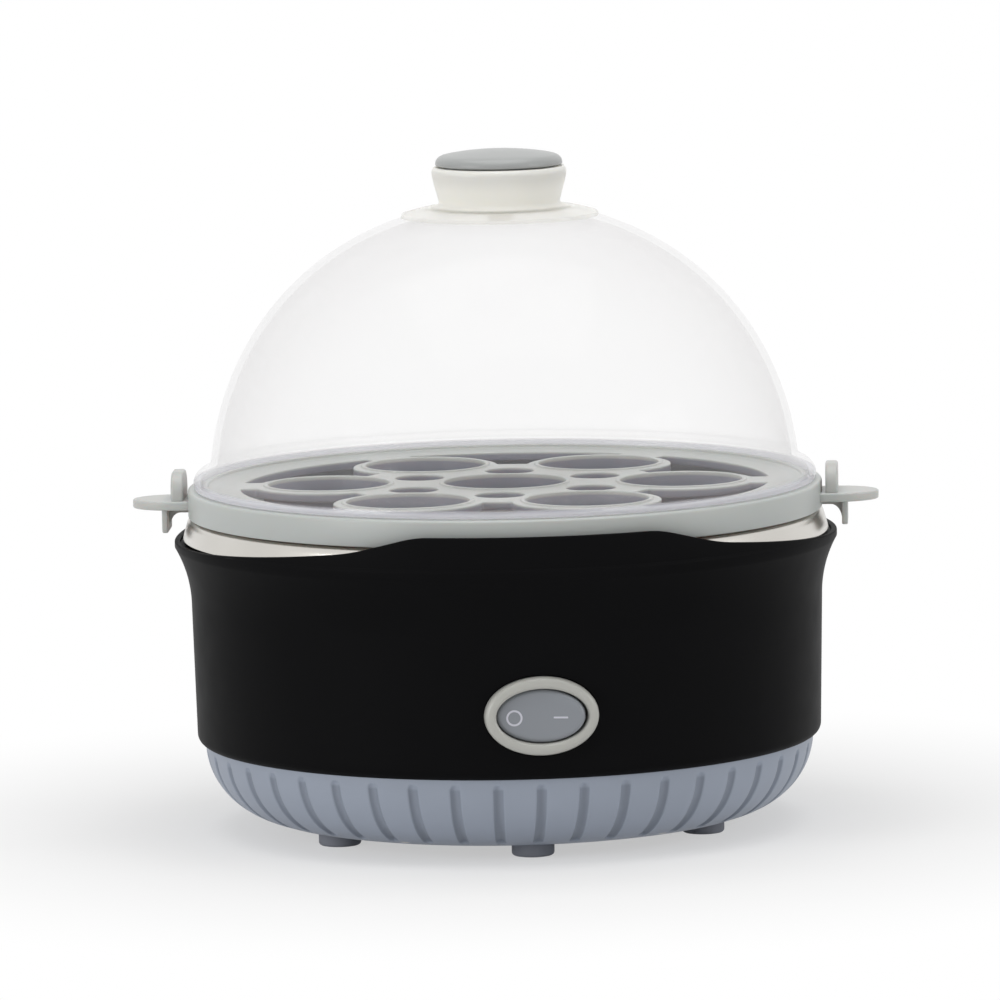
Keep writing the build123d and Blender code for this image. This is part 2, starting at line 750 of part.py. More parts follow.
# Switch housing: an oval bezel with its case behind it
rocker_face = 3.8  # the rocker's ends in front of its pivot
rocker_back = 3.5
cavity_floor = -5.4
chamber_floor = -14.0
case_back = -15.5
chamber_w = 20.0
chamber_h = 8.0
bezel_round = 1.6
bezel_inner_chamfer = 0.7
pivot_pin_r = 1.2
pin_reach = 0.7  # how far a pin enters the case wall
lug_l = 3.2
lug_h = 6.0
lug_out = 1.2
lug_gap = 0.2
wall_in_r = body_r - body_wall + waist_step * (switch_z - base_top) / waist_h
lug_front = sqrt(wall_in_r**2 - (case_w / 2 + lug_out) ** 2) - pivot_r - lug_gap
lever_l = 17.0
lever_w = 5.0
lever_t = 1.2
lever_top = -9.3
lever_rest = 4.0  # degrees
moulding_round = 1.0
contact_x = 7.4
pad_l = 3.0
pad_top = -11.3
tab_t = 0.8
tab_w = 6.3
tab_back = -23.5
fulcrum_gap = 0.25


def turned_plane(y, angle):
    """Outward plane on the switch's axis, turned about the vertical by an angle."""
    return Plane(
        origin=(0, y, switch_z),
        x_dir=(cos(radians(angle)), sin(radians(angle)), 0),
        z_dir=(sin(radians(angle)), -cos(radians(angle)), 0),
    )


with BuildPart() as switch_housing:
    with BuildSketch(switch_plane.offset(bezel_seat)):
        Ellipse(bezel_w / 2, bezel_h / 2)
    extrude(amount=bezel_front - bezel_seat)
    fillet(switch_housing.edges().sort_by(Axis.Y)[0], bezel_round)
    with BuildSketch(switch_plane.offset(bezel_seat)):
        Ellipse(case_w / 2, case_h / 2)
    extrude(amount=case_back - bezel_seat)
    with BuildSketch(switch_plane.offset(lug_front)):
        with Locations((-case_w / 2, 0), (case_w / 2, 0)):
            Rectangle(2 * lug_out, lug_h)
    extrude(amount=-lug_l)
    with BuildSketch(switch_plane.offset(cavity_floor)):
        Ellipse(rocker_w / 2 + rocker_gap, rocker_h / 2 + rocker_gap)
    extrude(amount=bezel_front - cavity_floor, mode=Mode.SUBTRACT)
    front_edges = switch_housing.edges().group_by(Axis.Y)[0]
    chamfer(front_edges.sort_by(SortBy.LENGTH)[0], bezel_inner_chamfer)
    with BuildSketch(switch_plane.offset(chamber_floor)):
        RectangleRounded(chamber_w, chamber_h, moulding_round)
    extrude(amount=cavity_floor - chamber_floor, mode=Mode.SUBTRACT)
    with BuildSketch(switch_plane.offset(chamber_floor)):
        with Locations((contact_x, 0)):
            Rectangle(pad_l, lever_w)
    extrude(amount=pad_top - chamber_floor)
    with BuildSketch(switch_plane.offset(case_back)):
        with Locations((0, 0), (-contact_x, 0)):
            Rectangle(tab_t + 2 * slip, tab_w + 2 * slip)
    extrude(amount=chamber_floor - case_back, mode=Mode.SUBTRACT)
    with BuildSketch(Plane((0, -pivot_r, switch_z))):
        Circle(pivot_pin_r + pin_gap)
    extrude(amount=rocker_h / 2 + rocker_gap + pin_reach + slip, both=True, mode=Mode.SUBTRACT)
switch_housing.part.label = "switch_housing"
export_step(switch_housing.part, "parts/switch_housing.step")

# Two switch terminals: the fulcrum of the contact lever and the fixed contact
with BuildPart() as switch_terminals:
    with BuildSketch(switch_plane.offset(tab_back)):
        Rectangle(tab_t, tab_w)
    extrude(amount=lever_top - lever_t - fulcrum_gap - tab_back)
    chamfer(switch_terminals.faces().sort_by(Axis.Y)[0].edges().filter_by(Axis.Z), tab_t / 3)
    with BuildSketch(switch_plane.offset(tab_back)):
        with Locations((-contact_x, 0)):
            Rectangle(tab_t, tab_w)
    extrude(amount=chamber_floor - tab_back)
    with BuildSketch(switch_plane.offset(chamber_floor)):
        with Locations((-contact_x, 0)):
            Rectangle(pad_l, tab_w)
    extrude(amount=pad_top - chamber_floor)
switch_terminals.part.label = "switch_terminals"
export_step(switch_terminals.part, "parts/switch_terminals.step")

# Rocker, stored with its left end pressed in
rocker_rest = 7.0  # degrees each side of level
rocker_face_mid = 2.7
rocker_face_r = 60.0
plunger_r = 1.2
plunger_bore = 1.2
plunger_boss_r = 2.2
plunger_boss = -6.0
plunger_top = -2.6
plunger_tip = -9.0
plunger_tip_round = 1.05
rocker_plane = turned_plane(-pivot_r, -rocker_rest)
face_axis = rocker_plane.origin + rocker_plane.z_dir * (rocker_face_mid + rocker_face_r)

with BuildPart() as rocker:
    with BuildSketch(rocker_plane.offset(-rocker_back)):
        Ellipse(rocker_w / 2, rocker_h / 2)
    extrude(amount=rocker_back + rocker_face)
    with BuildSketch(Plane((0, -pivot_r, switch_z - rocker_h))):
        Circle(rocker_w / 2)
    extrude(amount=2 * rocker_h, mode=Mode.INTERSECT)
    with BuildSketch(Plane((face_axis.X, face_axis.Y, switch_z - rocker_h))):
        Circle(rocker_face_r)
    extrude(amount=2 * rocker_h, mode=Mode.SUBTRACT)
    with BuildSketch(Plane((0, -pivot_r, switch_z))):
        Circle(pivot_pin_r)
    extrude(amount=rocker_h / 2 + rocker_gap + pin_reach, both=True)
    with BuildSketch(rocker_plane.offset(plunger_boss)):
        Circle(plunger_boss_r)
    extrude(amount=-plunger_boss - rocker_back / 2)
    with BuildSketch(rocker_plane.offset(plunger_boss)):
        Circle(plunger_r + slip)
    extrude(amount=plunger_bore - plunger_boss, mode=Mode.SUBTRACT)
rocker.part.label = "rocker"
export_step(rocker.part, "parts/rocker.step")

# Plunger in the rocker's tail, with its spring above it
with BuildPart() as switch_plunger:
    with BuildSketch(rocker_plane.offset(plunger_tip)):
        Circle(plunger_r)
    extrude(amount=plunger_top - plunger_tip)
    fillet(switch_plunger.edges().sort_by(Axis.Y)[-1], plunger_tip_round)
switch_plunger.part.label = "switch_plunger"
export_step(switch_plunger.part, "parts/switch_plunger.step")

spring_turns = 4
spring_wire_r = 0.18
spring_coil_r = 0.95
spring_low = plunger_top + spring_wire_r + pin_gap
spring_h = plunger_bore - spring_wire_r - pin_gap - spring_low

with BuildPart() as switch_spring:
    with BuildLine() as spring_path:
        Helix(
            spring_h / spring_turns,
            spring_h,
            spring_coil_r,
            center=rocker_plane.offset(spring_low).origin,
            direction=rocker_plane.z_dir,
        )
    with BuildSketch(Plane(origin=spring_path.line @ 0, z_dir=spring_path.line % 0)):
        RegularPolygon(spring_wire_r, 4)
    sweep(is_frenet=True)
switch_spring.part.label = "switch_spring"
export_step(switch_spring.part, "parts/switch_spring.step")

# Contact lever, tipped the other way by the plunger
lever_plane = turned_plane(-pivot_r - lever_top + lever_t / 2, lever_rest)

with BuildPart() as contact_lever:
    with BuildSketch(lever_plane.offset(-lever_t / 2)):
        RectangleRounded(lever_l, lever_w, moulding_round)
    extrude(amount=lever_t)
contact_lever.part.label = "contact_lever"
export_step(contact_lever.part, "parts/contact_lever.step")

# Cord inlet bush in the rear wall
bush_flange_t = 2.4
bush_round = 0.8
bush_inner_r = 6.4
bush_inner_t = 2.0
bush_inner_front = -2.2

with BuildPart() as cord_bush:
    with BuildSketch(inlet_plane):
        Circle(bush_flange_r)
    extrude(amount=bush_flange_t)
    fillet(cord_bush.edges().sort_by(Axis.Y)[-1], bush_round)
    with BuildSketch(inlet_plane):
        Circle(bush_barrel_r)
    extrude(amount=bush_inner_front - bush_inner_t)
    with BuildSketch(inlet_plane.offset(bush_inner_front)):
        Circle(bush_inner_r)
    extrude(amount=-bush_inner_t)
    with BuildSketch(inlet_plane.offset(bush_inner_front - bush_inner_t)):
        Circle(cord_r + slip)
    extrude(amount=bush_inner_t - bush_inner_front + bush_flange_t, mode=Mode.SUBTRACT)
cord_bush.part.label = "cord_bush"
export_step(cord_bush.part, "parts/cord_bush.step")

# Cord clamp on the base's two posts
cord_clamp_t = 5.0

with BuildPart() as cord_clamp:
    with BuildSketch(Plane.XY.offset(inlet_z)):
        with Locations((0, cord_post_y)):
            SlotOverall(2 * (cord_post_x + cord_post_r), 2 * cord_post_r)
    extrude(amount=cord_clamp_t)
    with BuildSketch(Plane.XZ.offset(-cord_post_y)):
        with Locations((0, inlet_z)):
            Circle(cord_r)
    extrude(amount=2 * cord_post_r, both=True, mode=Mode.SUBTRACT)
    with BuildSketch(Plane.XY.offset(inlet_z)):
        with Locations((-cord_post_x, cord_post_y), (cord_post_x, cord_post_y)):
            Circle(screw_r + slip)
    extrude(amount=cord_clamp_t, mode=Mode.SUBTRACT)
cord_clamp.part.label = "cord_clamp"
export_step(cord_clamp.part, "parts/cord_clamp.step")

cord_screws = pan_screws(
    [(-cord_post_x, cord_post_y), (cord_post_x, cord_post_y)],
    inlet_z + cord_clamp_t,
    -1,
    cord_clamp_t + cord_screw_depth - tip_gap,
)
cord_screws.part.label = "cord_screws"
export_step(cord_screws.part, "parts/cord_screws.step")

# Terminal block in its fence on the base's floor
pole_x = 7.5
pole_r = 2.2
pole_h = 5.0
well_r = 1.9
block_sink = 3.0
block_top = floor_z + block_h

with BuildPart() as terminal_block:
    with BuildSketch(Plane.XY.offset(floor_z)):
        with Locations((0, block_y)):
            RectangleRounded(block_l, block_w, moulding_round)
    extrude(amount=block_h)
    with BuildSketch(Plane.XZ.offset(-block_y)):
        with Locations((-pole_x, floor_z + pole_h), (pole_x, floor_z + pole_h)):
            Circle(pole_r)
    extrude(amount=block_w, both=True, mode=Mode.SUBTRACT)
    with BuildSketch(Plane.XY.offset(floor_z + pole_h)):
        with Locations((-pole_x, block_y), (pole_x, block_y)):
            Circle(well_r)
    extrude(amount=block_h, mode=Mode.SUBTRACT)
    with BuildSketch(Plane.XY.offset(block_top - block_sink)):
        with Locations((0, block_y)):
            Circle(screw_head_r + slip)
    extrude(amount=block_h, mode=Mode.SUBTRACT)
    with BuildSketch(Plane.XY.offset(floor_z)):
        with Locations((0, block_y)):
            Circle(screw_r + slip)
    extrude(amount=block_h, mode=Mode.SUBTRACT)
terminal_block.part.label = "terminal_block"
export_step(terminal_block.part, "parts/terminal_block.step")

block_screw = pan_screws(
    [(0, block_y)], block_top - block_sink, -1, block_h - block_sink + base_wall - tip_gap
)
block_screw.part.label = "block_screw"
export_step(block_screw.part, "parts/block_screw.step")

# Egg tray: seven collared holes in a plate that hangs inside a rim
tray_turn = -8.6  # degrees, how the tray happens to lie on the body
tray_edge = 0.5
tray_plate_top = tray_top - 2.0
tray_plate_t = 2.0
tray_slope_out_r = tray_r - 5.6
bead_out_r = tray_slope_out_r + 1.4
bead_top = tray_top + 0.9
locator_out_r = bowl_wall_r - bowl_wall - 1.0
locator_t = 1.6
locator_low = bowl_top - 1.7
egg_hole_r = 16.65
egg_pitch = 48.2
collar_t = 1.2
collar_up = 0.9
collar_down = 2.6
steam_hole_r = 6.75
web_t = 3.4
cutout_in_r = 43.5
cutout_out_r = 71.0
cutout_web = 13.0
cutout_round = 1.3
plate_low = tray_plate_top - tray_plate_t
tray_x = Vector(cos(radians(tray_turn)), sin(radians(tray_turn)), 0)
tray_y = Vector(-sin(radians(tray_turn)), cos(radians(tray_turn)), 0)

# Tray handles
tongue_z = tray_skirt_bottom + 1.8
tongue_t = 2.4
tongue_w = 19.0
tongue_in_r = tray_r - 1.0
tongue_mid_r = tray_r + 3.4
tongue_tip_r = tray_r + 15.4
guard_in_r = tray_r + 1.0
guard_t = 3.4
guard_w = 16.0
guard_h = 7.4
guard_round = 5.5
leg_out_r = tray_r + 7.0
leg_t = 1.6
leg_w = 14.0
leg_low = tongue_z - 6.5
gusset_t = 2.0
gusset_low = tongue_z - 1.5
gusset_arch_r = 3.0


def tray_level(height):
    """Level plane at a height, turned with the tray."""
    return Plane(origin=(0, 0, height), x_dir=tray_x, z_dir=(0, 0, 1))


with BuildPart() as egg_tray:
    with BuildSketch(Plane.XZ):
        with BuildLine():
            Polyline(
                (0, tray_plate_top),
                (locator_out_r, tray_plate_top),
                (tray_slope_out_r, tray_top),
                (tray_slope_out_r, bead_top),
                (bead_out_r, bead_top),
                (bead_out_r, tray_top),
                (tray_r - tray_edge, tray_top),
                (tray_r, tray_top - tray_edge),
                (tray_r, tray_skirt_bottom),
                (tray_r - tray_wall, tray_skirt_bottom),
                (tray_r - tray_wall, tray_top - tray_wall),
                (tray_slope_out_r + tray_wall / 2, tray_top - tray_wall),
                (locator_out_r, plate_low),
                (locator_out_r, locator_low),
                (locator_out_r - locator_t, locator_low),
                (locator_out_r - locator_t, plate_low),
                (0, plate_low),
                close=True,
            )
        make_face()
    revolve(axis=Axis.Z)
    with BuildSketch(tray_level(plate_low - collar_down)):
        Circle(egg_hole_r + collar_t)
        with PolarLocations(egg_pitch, 6):
            Circle(egg_hole_r + collar_t)
    extrude(amount=collar_down + tray_plate_t + collar_up)
    with BuildSketch(tray_level(plate_low - 2 * collar_down)):
        Circle(egg_hole_r)
        with PolarLocations(egg_pitch, 6):
            Circle(egg_hole_r)
        with PolarLocations(egg_pitch / sqrt(3), 6, start_angle=30):
            Circle(steam_hole_r)
    extrude(amount=6 * collar_down, mode=Mode.SUBTRACT)
    with BuildSketch(tray_level(plate_low - 2 * collar_down)):
        Circle(cutout_out_r)
        Circle(cutout_in_r, mode=Mode.SUBTRACT)
        with PolarLocations(egg_pitch, 6):
            Circle(egg_hole_r + web_t, mode=Mode.SUBTRACT)
        with PolarLocations(cutout_out_r, 6):
            Rectangle(egg_hole_r * 2, cutout_web, mode=Mode.SUBTRACT)
        fillet(vertices(), cutout_round)
    extrude(amount=6 * collar_down, mode=Mode.SUBTRACT)
    with BuildSketch(tray_level(tongue_z)):
        for side in (-1, 1):
            with Locations((side * tongue_mid_r, 0)):
                Ellipse(tongue_tip_r - tongue_mid_r, tongue_w / 2)
            with Locations((side * (tongue_in_r + tongue_mid_r) / 2, 0)):
                Rectangle(tongue_mid_r - tongue_in_r, tongue_w)
        Circle(tongue_in_r, mode=Mode.SUBTRACT)
    extrude(amount=tongue_t)
    with BuildSketch(tray_level(leg_low)):
        with Locations((-leg_out_r + leg_t / 2, 0), (leg_out_r - leg_t / 2, 0)):
            Rectangle(leg_t, leg_w)
    extrude(amount=tongue_z - leg_low)
    for side in (-1, 1):
        guard_foot = tray_x * side * guard_in_r + Vector(0, 0, tongue_z + tongue_t)
        with BuildSketch(Plane(origin=guard_foot, x_dir=tray_y * side, z_dir=tray_x * side)) as guard:
            Rectangle(guard_w, guard_h, align=(Align.CENTER, Align.MIN))
            fillet(guard.vertices().group_by(Axis.Y)[-1], guard_round)
        extrude(amount=guard_t)
        with BuildSketch(Plane(origin=(0, 0, 0), x_dir=tray_x * side, z_dir=tray_y * -side)):
            with BuildLine():
                Polyline(
                    (leg_out_r - leg_t, leg_low),
                    (leg_out_r - leg_t, tongue_z),
                    (tongue_in_r, tongue_z),
                    (tongue_in_r, gusset_low),
                    (leg_out_r - leg_t - gusset_arch_r, gusset_low),
                )
                ThreePointArc(
                    (leg_out_r - leg_t - gusset_arch_r, gusset_low),
                    (leg_out_r - leg_t - gusset_arch_r / 3, (gusset_low + leg_low) / 2 + gusset_arch_r / 6),
                    (leg_out_r - leg_t, leg_low),
                )
            make_face()
        extrude(amount=gusset_t / 2, both=True)
egg_tray.part.label = "egg_tray"
export_step(egg_tray.part, "parts/egg_tray.step")

# Dome lid with a rounded shoulder that stands on the tray's rim
shoulder_r = 3.4
shoulder_z = dome_bottom + shoulder_r
shoulder_in_r = dome_flange_r - shoulder_r
dome_in_r = dome_r - dome_wall
knob_screw_r = 2.0


def sphere_angle(height, radius):
    """Angle above level of the point at a height on a circle about the dome's centre, in degrees."""
    return degrees(asin((height - dome_centre_z) / radius))


outer_angle = sphere_angle(shoulder_z, dome_r)
inner_angle = sphere_angle(shoulder_z - dome_wall, dome_in_r)

with BuildPart() as dome_lid:
    with BuildSketch(Plane.XZ):
        with BuildLine():
            outside = CenterArc((0, dome_centre_z), dome_r, 90, outer_angle - 90)
            Line(outside @ 1, (shoulder_in_r, shoulder_z))
            CenterArc((shoulder_in_r, dome_bottom), shoulder_r, 90, -90)
            Line((dome_flange_r, dome_bottom), (dome_flange_r - dome_wall, dome_bottom))
            CenterArc((shoulder_in_r, dome_bottom), shoulder_r - dome_wall, 0, 90)
            inside = CenterArc((0, dome_centre_z), dome_in_r, inner_angle, 90 - inner_angle)
            Line((shoulder_in_r, shoulder_z - dome_wall), inside @ 0)
            Line(inside @ 1, outside @ 0)
        make_face()
    revolve(axis=Axis.Z)
    with BuildSketch(Plane.XY.offset(dome_centre_z)):
        Circle(knob_screw_r + slip)
    extrude(amount=knob_top - dome_centre_z, mode=Mode.SUBTRACT)
dome_lid.part.label = "dome_lid"
export_step(dome_lid.part, "parts/dome_lid.step")

# Knob: a flared skirt over the dome and a hollow grip, open at the top for the cap
knob_skirt_r = 27.0
knob_skirt_t = 1.0
knob_neck_r = 15.9
knob_neck_z = dome_top + 0.5
knob_wide_r = 18.1
knob_wide_z = dome_top + 7.2
knob_seat_r = 17.8
knob_seat_z = dome_top + 9.8
knob_floor_z = dome_top + 2.8
knob_wall = 2.2
knob_boss_r = 5.0
knob_boss_top = dome_top + 7.8
knob_bore_top = knob_boss_top - 0.8
neck_flare = 1.8
cap_edge_h = 0.7
cap_shoulder_r = 15.6
cap_shoulder_z = dome_top + 12.9
cap_spigot_h = 2.0
cap_spigot_t = 1.4
knob_under_r = dome_r + slip
skirt_angle = degrees(acos(knob_skirt_r / knob_under_r))
skirt_edge_z = dome_centre_z + knob_under_r * sin(radians(skirt_angle)) + knob_skirt_t

with BuildPart() as knob:
    with BuildSketch(Plane.XZ):
        with BuildLine():
            underside = CenterArc((0, dome_centre_z), knob_under_r, 90, skirt_angle - 90)
            Polyline(
                underside @ 1,
                (knob_skirt_r, skirt_edge_z),
                (knob_neck_r + neck_flare, knob_neck_z - neck_flare / 2),
            )
            Spline(
                (knob_neck_r + neck_flare, knob_neck_z - neck_flare / 2),
                (knob_neck_r, knob_neck_z + neck_flare),
                (knob_wide_r, knob_wide_z),
                (knob_seat_r, knob_seat_z),
            )
            Polyline(
                (knob_seat_r, knob_seat_z),
                (knob_seat_r - knob_wall, knob_seat_z),
                (knob_neck_r - knob_wall, knob_floor_z),
                (knob_boss_r, knob_floor_z),
                (knob_boss_r, knob_boss_top),
                (0, knob_boss_top),
                underside @ 0,
            )
        make_face()
    revolve(axis=Axis.Z)
    with BuildSketch(Plane.XY.offset(dome_centre_z)):
        Circle(knob_screw_r + slip)
    extrude(amount=knob_bore_top - dome_centre_z, mode=Mode.SUBTRACT)
knob.part.label = "knob"
export_step(knob.part, "parts/knob.step")

# Knob cap: a shallow domed disc on a spigot
cap_low = knob_seat_z + slip
spigot_out_r = knob_seat_r - knob_wall - lift_gap

with BuildPart() as knob_cap:
    with BuildSketch(Plane.XZ):
        with BuildLine():
            cap_arc = Spline(
                (0, knob_top), (cap_shoulder_r, cap_shoulder_z), tangents=[(1, 0), (1, -0.2)]
            )
            Polyline(
                (0, knob_top),
                (0, cap_low),
                (spigot_out_r - cap_spigot_t, cap_low),
                (spigot_out_r - cap_spigot_t, cap_low - cap_spigot_h),
                (spigot_out_r - lift_gap, cap_low - cap_spigot_h),
                (spigot_out_r, cap_low),
                (knob_seat_r, cap_low),
                (knob_seat_r, cap_low + cap_edge_h),
            )
            TangentArc(
                (cap_shoulder_r, cap_shoulder_z),
                (knob_seat_r, cap_low + cap_edge_h),
                tangent=cap_arc % 1,
            )
        make_face()
    revolve(axis=Axis.Z)
knob_cap.part.label = "knob_cap"
export_step(knob_cap.part, "parts/knob_cap.step")

# Washer and screw under the dome
washer_r = 6.0
washer_t = 0.8
washer_top = dome_centre_z + sqrt(dome_in_r**2 - washer_r**2) - pin_gap
knob_screw_head_r = 3.6
knob_screw_head_h = 2.2

with BuildPart() as knob_washer:
    with BuildSketch(Plane.XY.offset(washer_top - washer_t)):
        Circle(washer_r)
        Circle(knob_screw_r + slip, mode=Mode.SUBTRACT)
    extrude(amount=washer_t)
knob_washer.part.label = "knob_washer"
export_step(knob_washer.part, "parts/knob_washer.step")

with BuildPart() as knob_screw:
    with BuildSketch(Plane.XY.offset(washer_top - washer_t)):
        Circle(knob_screw_head_r)
    extrude(amount=-knob_screw_head_h, taper=head_taper)
    with BuildSketch(Plane.XY.offset(washer_top - washer_t)):
        Circle(knob_screw_r)
    extrude(amount=knob_bore_top - tip_gap - washer_top + washer_t)
knob_screw.part.label = "knob_screw"
export_step(knob_screw.part, "parts/knob_screw.step")
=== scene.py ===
"""Electric egg cooker: smooth visible pieces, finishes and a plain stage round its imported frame.

Millimetres in the shape code, metres in Blender. +Z up, the switch faces -Y.
"""
import json

import bmesh
import bpy
import numpy as np
from bpy.props import FloatProperty, FloatVectorProperty, IntProperty, PointerProperty
from mathutils import Matrix, Vector
from mathutils.geometry import delaunay_2d_cdt


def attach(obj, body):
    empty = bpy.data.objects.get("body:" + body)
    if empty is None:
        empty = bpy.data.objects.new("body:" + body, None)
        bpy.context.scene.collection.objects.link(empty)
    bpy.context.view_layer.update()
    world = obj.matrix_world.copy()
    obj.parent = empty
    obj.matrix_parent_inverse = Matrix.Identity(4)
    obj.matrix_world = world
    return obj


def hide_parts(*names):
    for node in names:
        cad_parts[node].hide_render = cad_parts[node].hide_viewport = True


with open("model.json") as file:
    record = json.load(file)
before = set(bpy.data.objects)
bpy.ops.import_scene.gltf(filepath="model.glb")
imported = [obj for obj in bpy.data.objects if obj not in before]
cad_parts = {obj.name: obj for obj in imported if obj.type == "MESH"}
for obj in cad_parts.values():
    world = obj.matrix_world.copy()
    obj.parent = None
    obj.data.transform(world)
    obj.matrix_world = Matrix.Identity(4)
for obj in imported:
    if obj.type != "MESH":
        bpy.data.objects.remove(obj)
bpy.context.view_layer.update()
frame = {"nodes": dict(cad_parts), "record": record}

bl_info = {
    "name": "Egg cooker looks",
    "version": (1, 0, 0),
    "blender": (4, 5, 0),
    "location": "View3D > Sidebar > Egg cooker",
    "description": "Builds the visible pieces, finishes and stage of an electric egg cooker",
    "category": "Object",
}

MM = 0.001
WELD = 0.000002  # metres between points that become one
TINY = 1e-9  # no vector is divided by a length under this
FLAT = 0.001  # radians: no corner counts as sharper or flatter than this
WHITE = (1, 1, 1, 1)

# Shared sizes of the smooth pieces, in millimetres
DOME_POWER = 2.1  # 2 would make the dome a plain part of a ball
HINGE_Y = -84.2  # the rocker's upright pivot
SWITCH_Z = 41.7
INLET_Z = 34.0
INLET_SEAT = 84.8  # from the axis to the flat round the cord inlet
JOINT_Z = 24.3  # between the base and the body


# Shapes of lines


def round_line(centre, radii, turn):
    """Points centre + (rx cos a, ry sin a) at each angle a in radians; a circle has one radius."""
    rx, ry = np.broadcast_to(radii, 2)
    return np.column_stack([centre[0] + rx * np.cos(turn), centre[1] + ry * np.sin(turn)])


def arc(centre, radii, start, stop, count):
    """The same, with the angle running evenly from start to stop in degrees."""
    return round_line(centre, radii, np.radians(np.linspace(start, stop, count)))


def full_turn(count):
    """Angles in radians, evenly all the way round from 0."""
    return np.radians(np.arange(count) * 360 / count)


def dome_line(radius, centre, start, stop, count):
    """A slightly squared circle: points (R cos(a)^p, centre + R sin(a)^p) with p = 2 / DOME_POWER,
    so that the powers of their distances from the centre add up to the power of R."""
    a = np.radians(np.linspace(start, stop, count))
    p = 2 / DOME_POWER
    return np.column_stack([radius * np.cos(a) ** p, centre + radius * np.sin(a) ** p])


def unit(vectors):
    """Each vector over its own length."""
    return vectors / np.maximum(np.linalg.norm(vectors, axis=1, keepdims=True), TINY)


def rounded(corners, radii, steps=5):
    """Corners turned into arcs: each arc's centre lies r / sin(half the corner) along the
    bisector, and its points swing evenly from one side's touching point to the other's."""
    corners = np.asarray(corners, float)
    radii = np.broadcast_to(np.asarray(radii, float), len(corners))[:, None]
    back = unit(np.roll(corners, 1, 0) - corners)
    ahead = unit(np.roll(corners, -1, 0) - corners)
    half = np.arccos(np.clip((back * ahead).sum(1, keepdims=True), -1, 1)) / 2
    half = np.clip(half, FLAT, np.pi / 2 - FLAT)
    centre = corners + unit(back + ahead) * radii / np.sin(half)
    first = corners + back * radii / np.tan(half) - centre
    last = corners + ahead * radii / np.tan(half) - centre
    swing = np.pi - 2 * half
    t = np.linspace(0, 1, steps)[None, :, None]
    swing, first, last = swing[:, :, None], first[:, None], last[:, None]
    blend = (np.sin((1 - t) * swing) * first + np.sin(t * swing) * last) / np.sin(swing)
    return (centre[:, None] + blend).reshape(-1, 2)


def flared(low, high, count):
    """The arc that leaves an upright wall at low and reaches high: R = (s^2 + h^2) / 2s for a
    step s outwards over a height h."""
    step, rise = high[0] - low[0], high[1] - low[1]
    radius = (step**2 + rise**2) / (2 * step)
    end = np.degrees(np.arcsin(rise / radius))
    return arc((low[0] + radius, low[1]), radius, 180, 180 - end, count)


def line_normals(points, closed):
    """Unit normals to the left of a flat line, from the mean direction of its two neighbours."""
    if closed:
        ahead = unit(np.roll(points, -1, 0) - np.roll(points, 1, 0))
    else:
        ahead = unit(np.gradient(points, axis=0))
    return np.column_stack([-ahead[:, 1], ahead[:, 0]])


def lengths(points):
    """Distance along a line from its first point to each of its points."""
    return np.concatenate([[0], np.cumsum(np.linalg.norm(np.diff(points, axis=0), axis=1))])


def read(line, reach, at):
    """Both columns of a line at given distances along it."""
    return [np.interp(at, reach, column) for column in line.T]


def along(points, at):
    """Points of a flat line at given distances from its first point."""
    return np.column_stack(read(points, lengths(points), at))


def resampled(points, spacing):
    """The same open line with its points about one spacing apart."""
    total = lengths(points)[-1]
    return along(points, np.linspace(0, total, max(int(total / spacing), 2) + 1))


def joined_sides(sides, trim):
    """A closed loop of open sides: each side loses a trim at both ends, and a curve with the
    lost corner as its control point, (1-t)^2 a + 2t(1-t) corner + t^2 b, closes each gap."""
    cut = [along(side, np.linspace(trim, lengths(side)[-1] - trim, len(side))) for side in sides]
    t = np.linspace(0, 1, 7)[1:-1, None]
    loop = []
    for side, short, after in zip(sides, cut, cut[1:] + cut[:1]):
        bend = (1 - t) ** 2 * short[-1] + 2 * t * (1 - t) * side[-1] + t**2 * after[0]
        loop += [short, bend]
    return np.vstack(loop)


def within(points, loop):
    """True where a point lies in a closed loop: a ray from it crosses the loop an odd number
    of times."""
    x, y = points[:, :1], points[:, 1:]
    x0, y0 = loop.T
    x1, y1 = np.roll(x0, -1), np.roll(y0, -1)
    crosses = (y0 > y) != (y1 > y)
    with np.errstate(divide="ignore", invalid="ignore"):
        at = x0 + (y - y0) * (x1 - x0) / (y1 - y0)
    return (crosses & (x < at)).sum(1) % 2 == 1


def spin(points, turn):
    """Points turned about the upright axis: (x cos t - y sin t, x sin t + y cos t)."""
    x, y = points[..., 0], points[..., 1]
    c, s = np.cos(turn), np.sin(turn)
    return np.concatenate([np.stack([x * c - y * s, x * s + y * c], -1), points[..., 2:]], -1)


def xyz(x, y, z):
    """Points from their coordinates, each an array or one number for all."""
    return np.stack(np.broadcast_arrays(x, y, z), -1)


def about_axis(r, z, a):
    """Radius r and height z at an angle a from the front: (r sin a, -r cos a, z)."""
    return xyz(r * np.sin(a), -r * np.cos(a), z)


def stood(points, way, y, z):
    """Points (x, height, depth) stood up at y and z, with the depth along Y one way."""
    x, up, out = np.moveaxis(points, -1, 0)
    return xyz(x, y + way * out, z + up)


def front_place(points):
    """Points on the switch's axis, with the depth towards the viewer."""
    return stood(points, -1, HINGE_Y, SWITCH_Z)


def ovals(rows, columns=160, centre=(0, 0), face=np.zeros_like):
    """Rows of half width, half height and depth over a face, as ovals round a centre."""
    wide, high, out = np.array(rows, float).T[:, :, None]
    a = full_turn(columns)
    x = centre[0] + wide * np.cos(a)
    return xyz(x, centre[1] + high * np.sin(a), out + face(x))


def shell_place(profile):
    """A turned wall as a function of the angle from the front and the length along its
    profile, with its radius and height read off the profile."""
    reach = lengths(profile)

    def place(u, v):
        return about_axis(*read(profile, reach, v), u)

    return place, reach


# Meshes


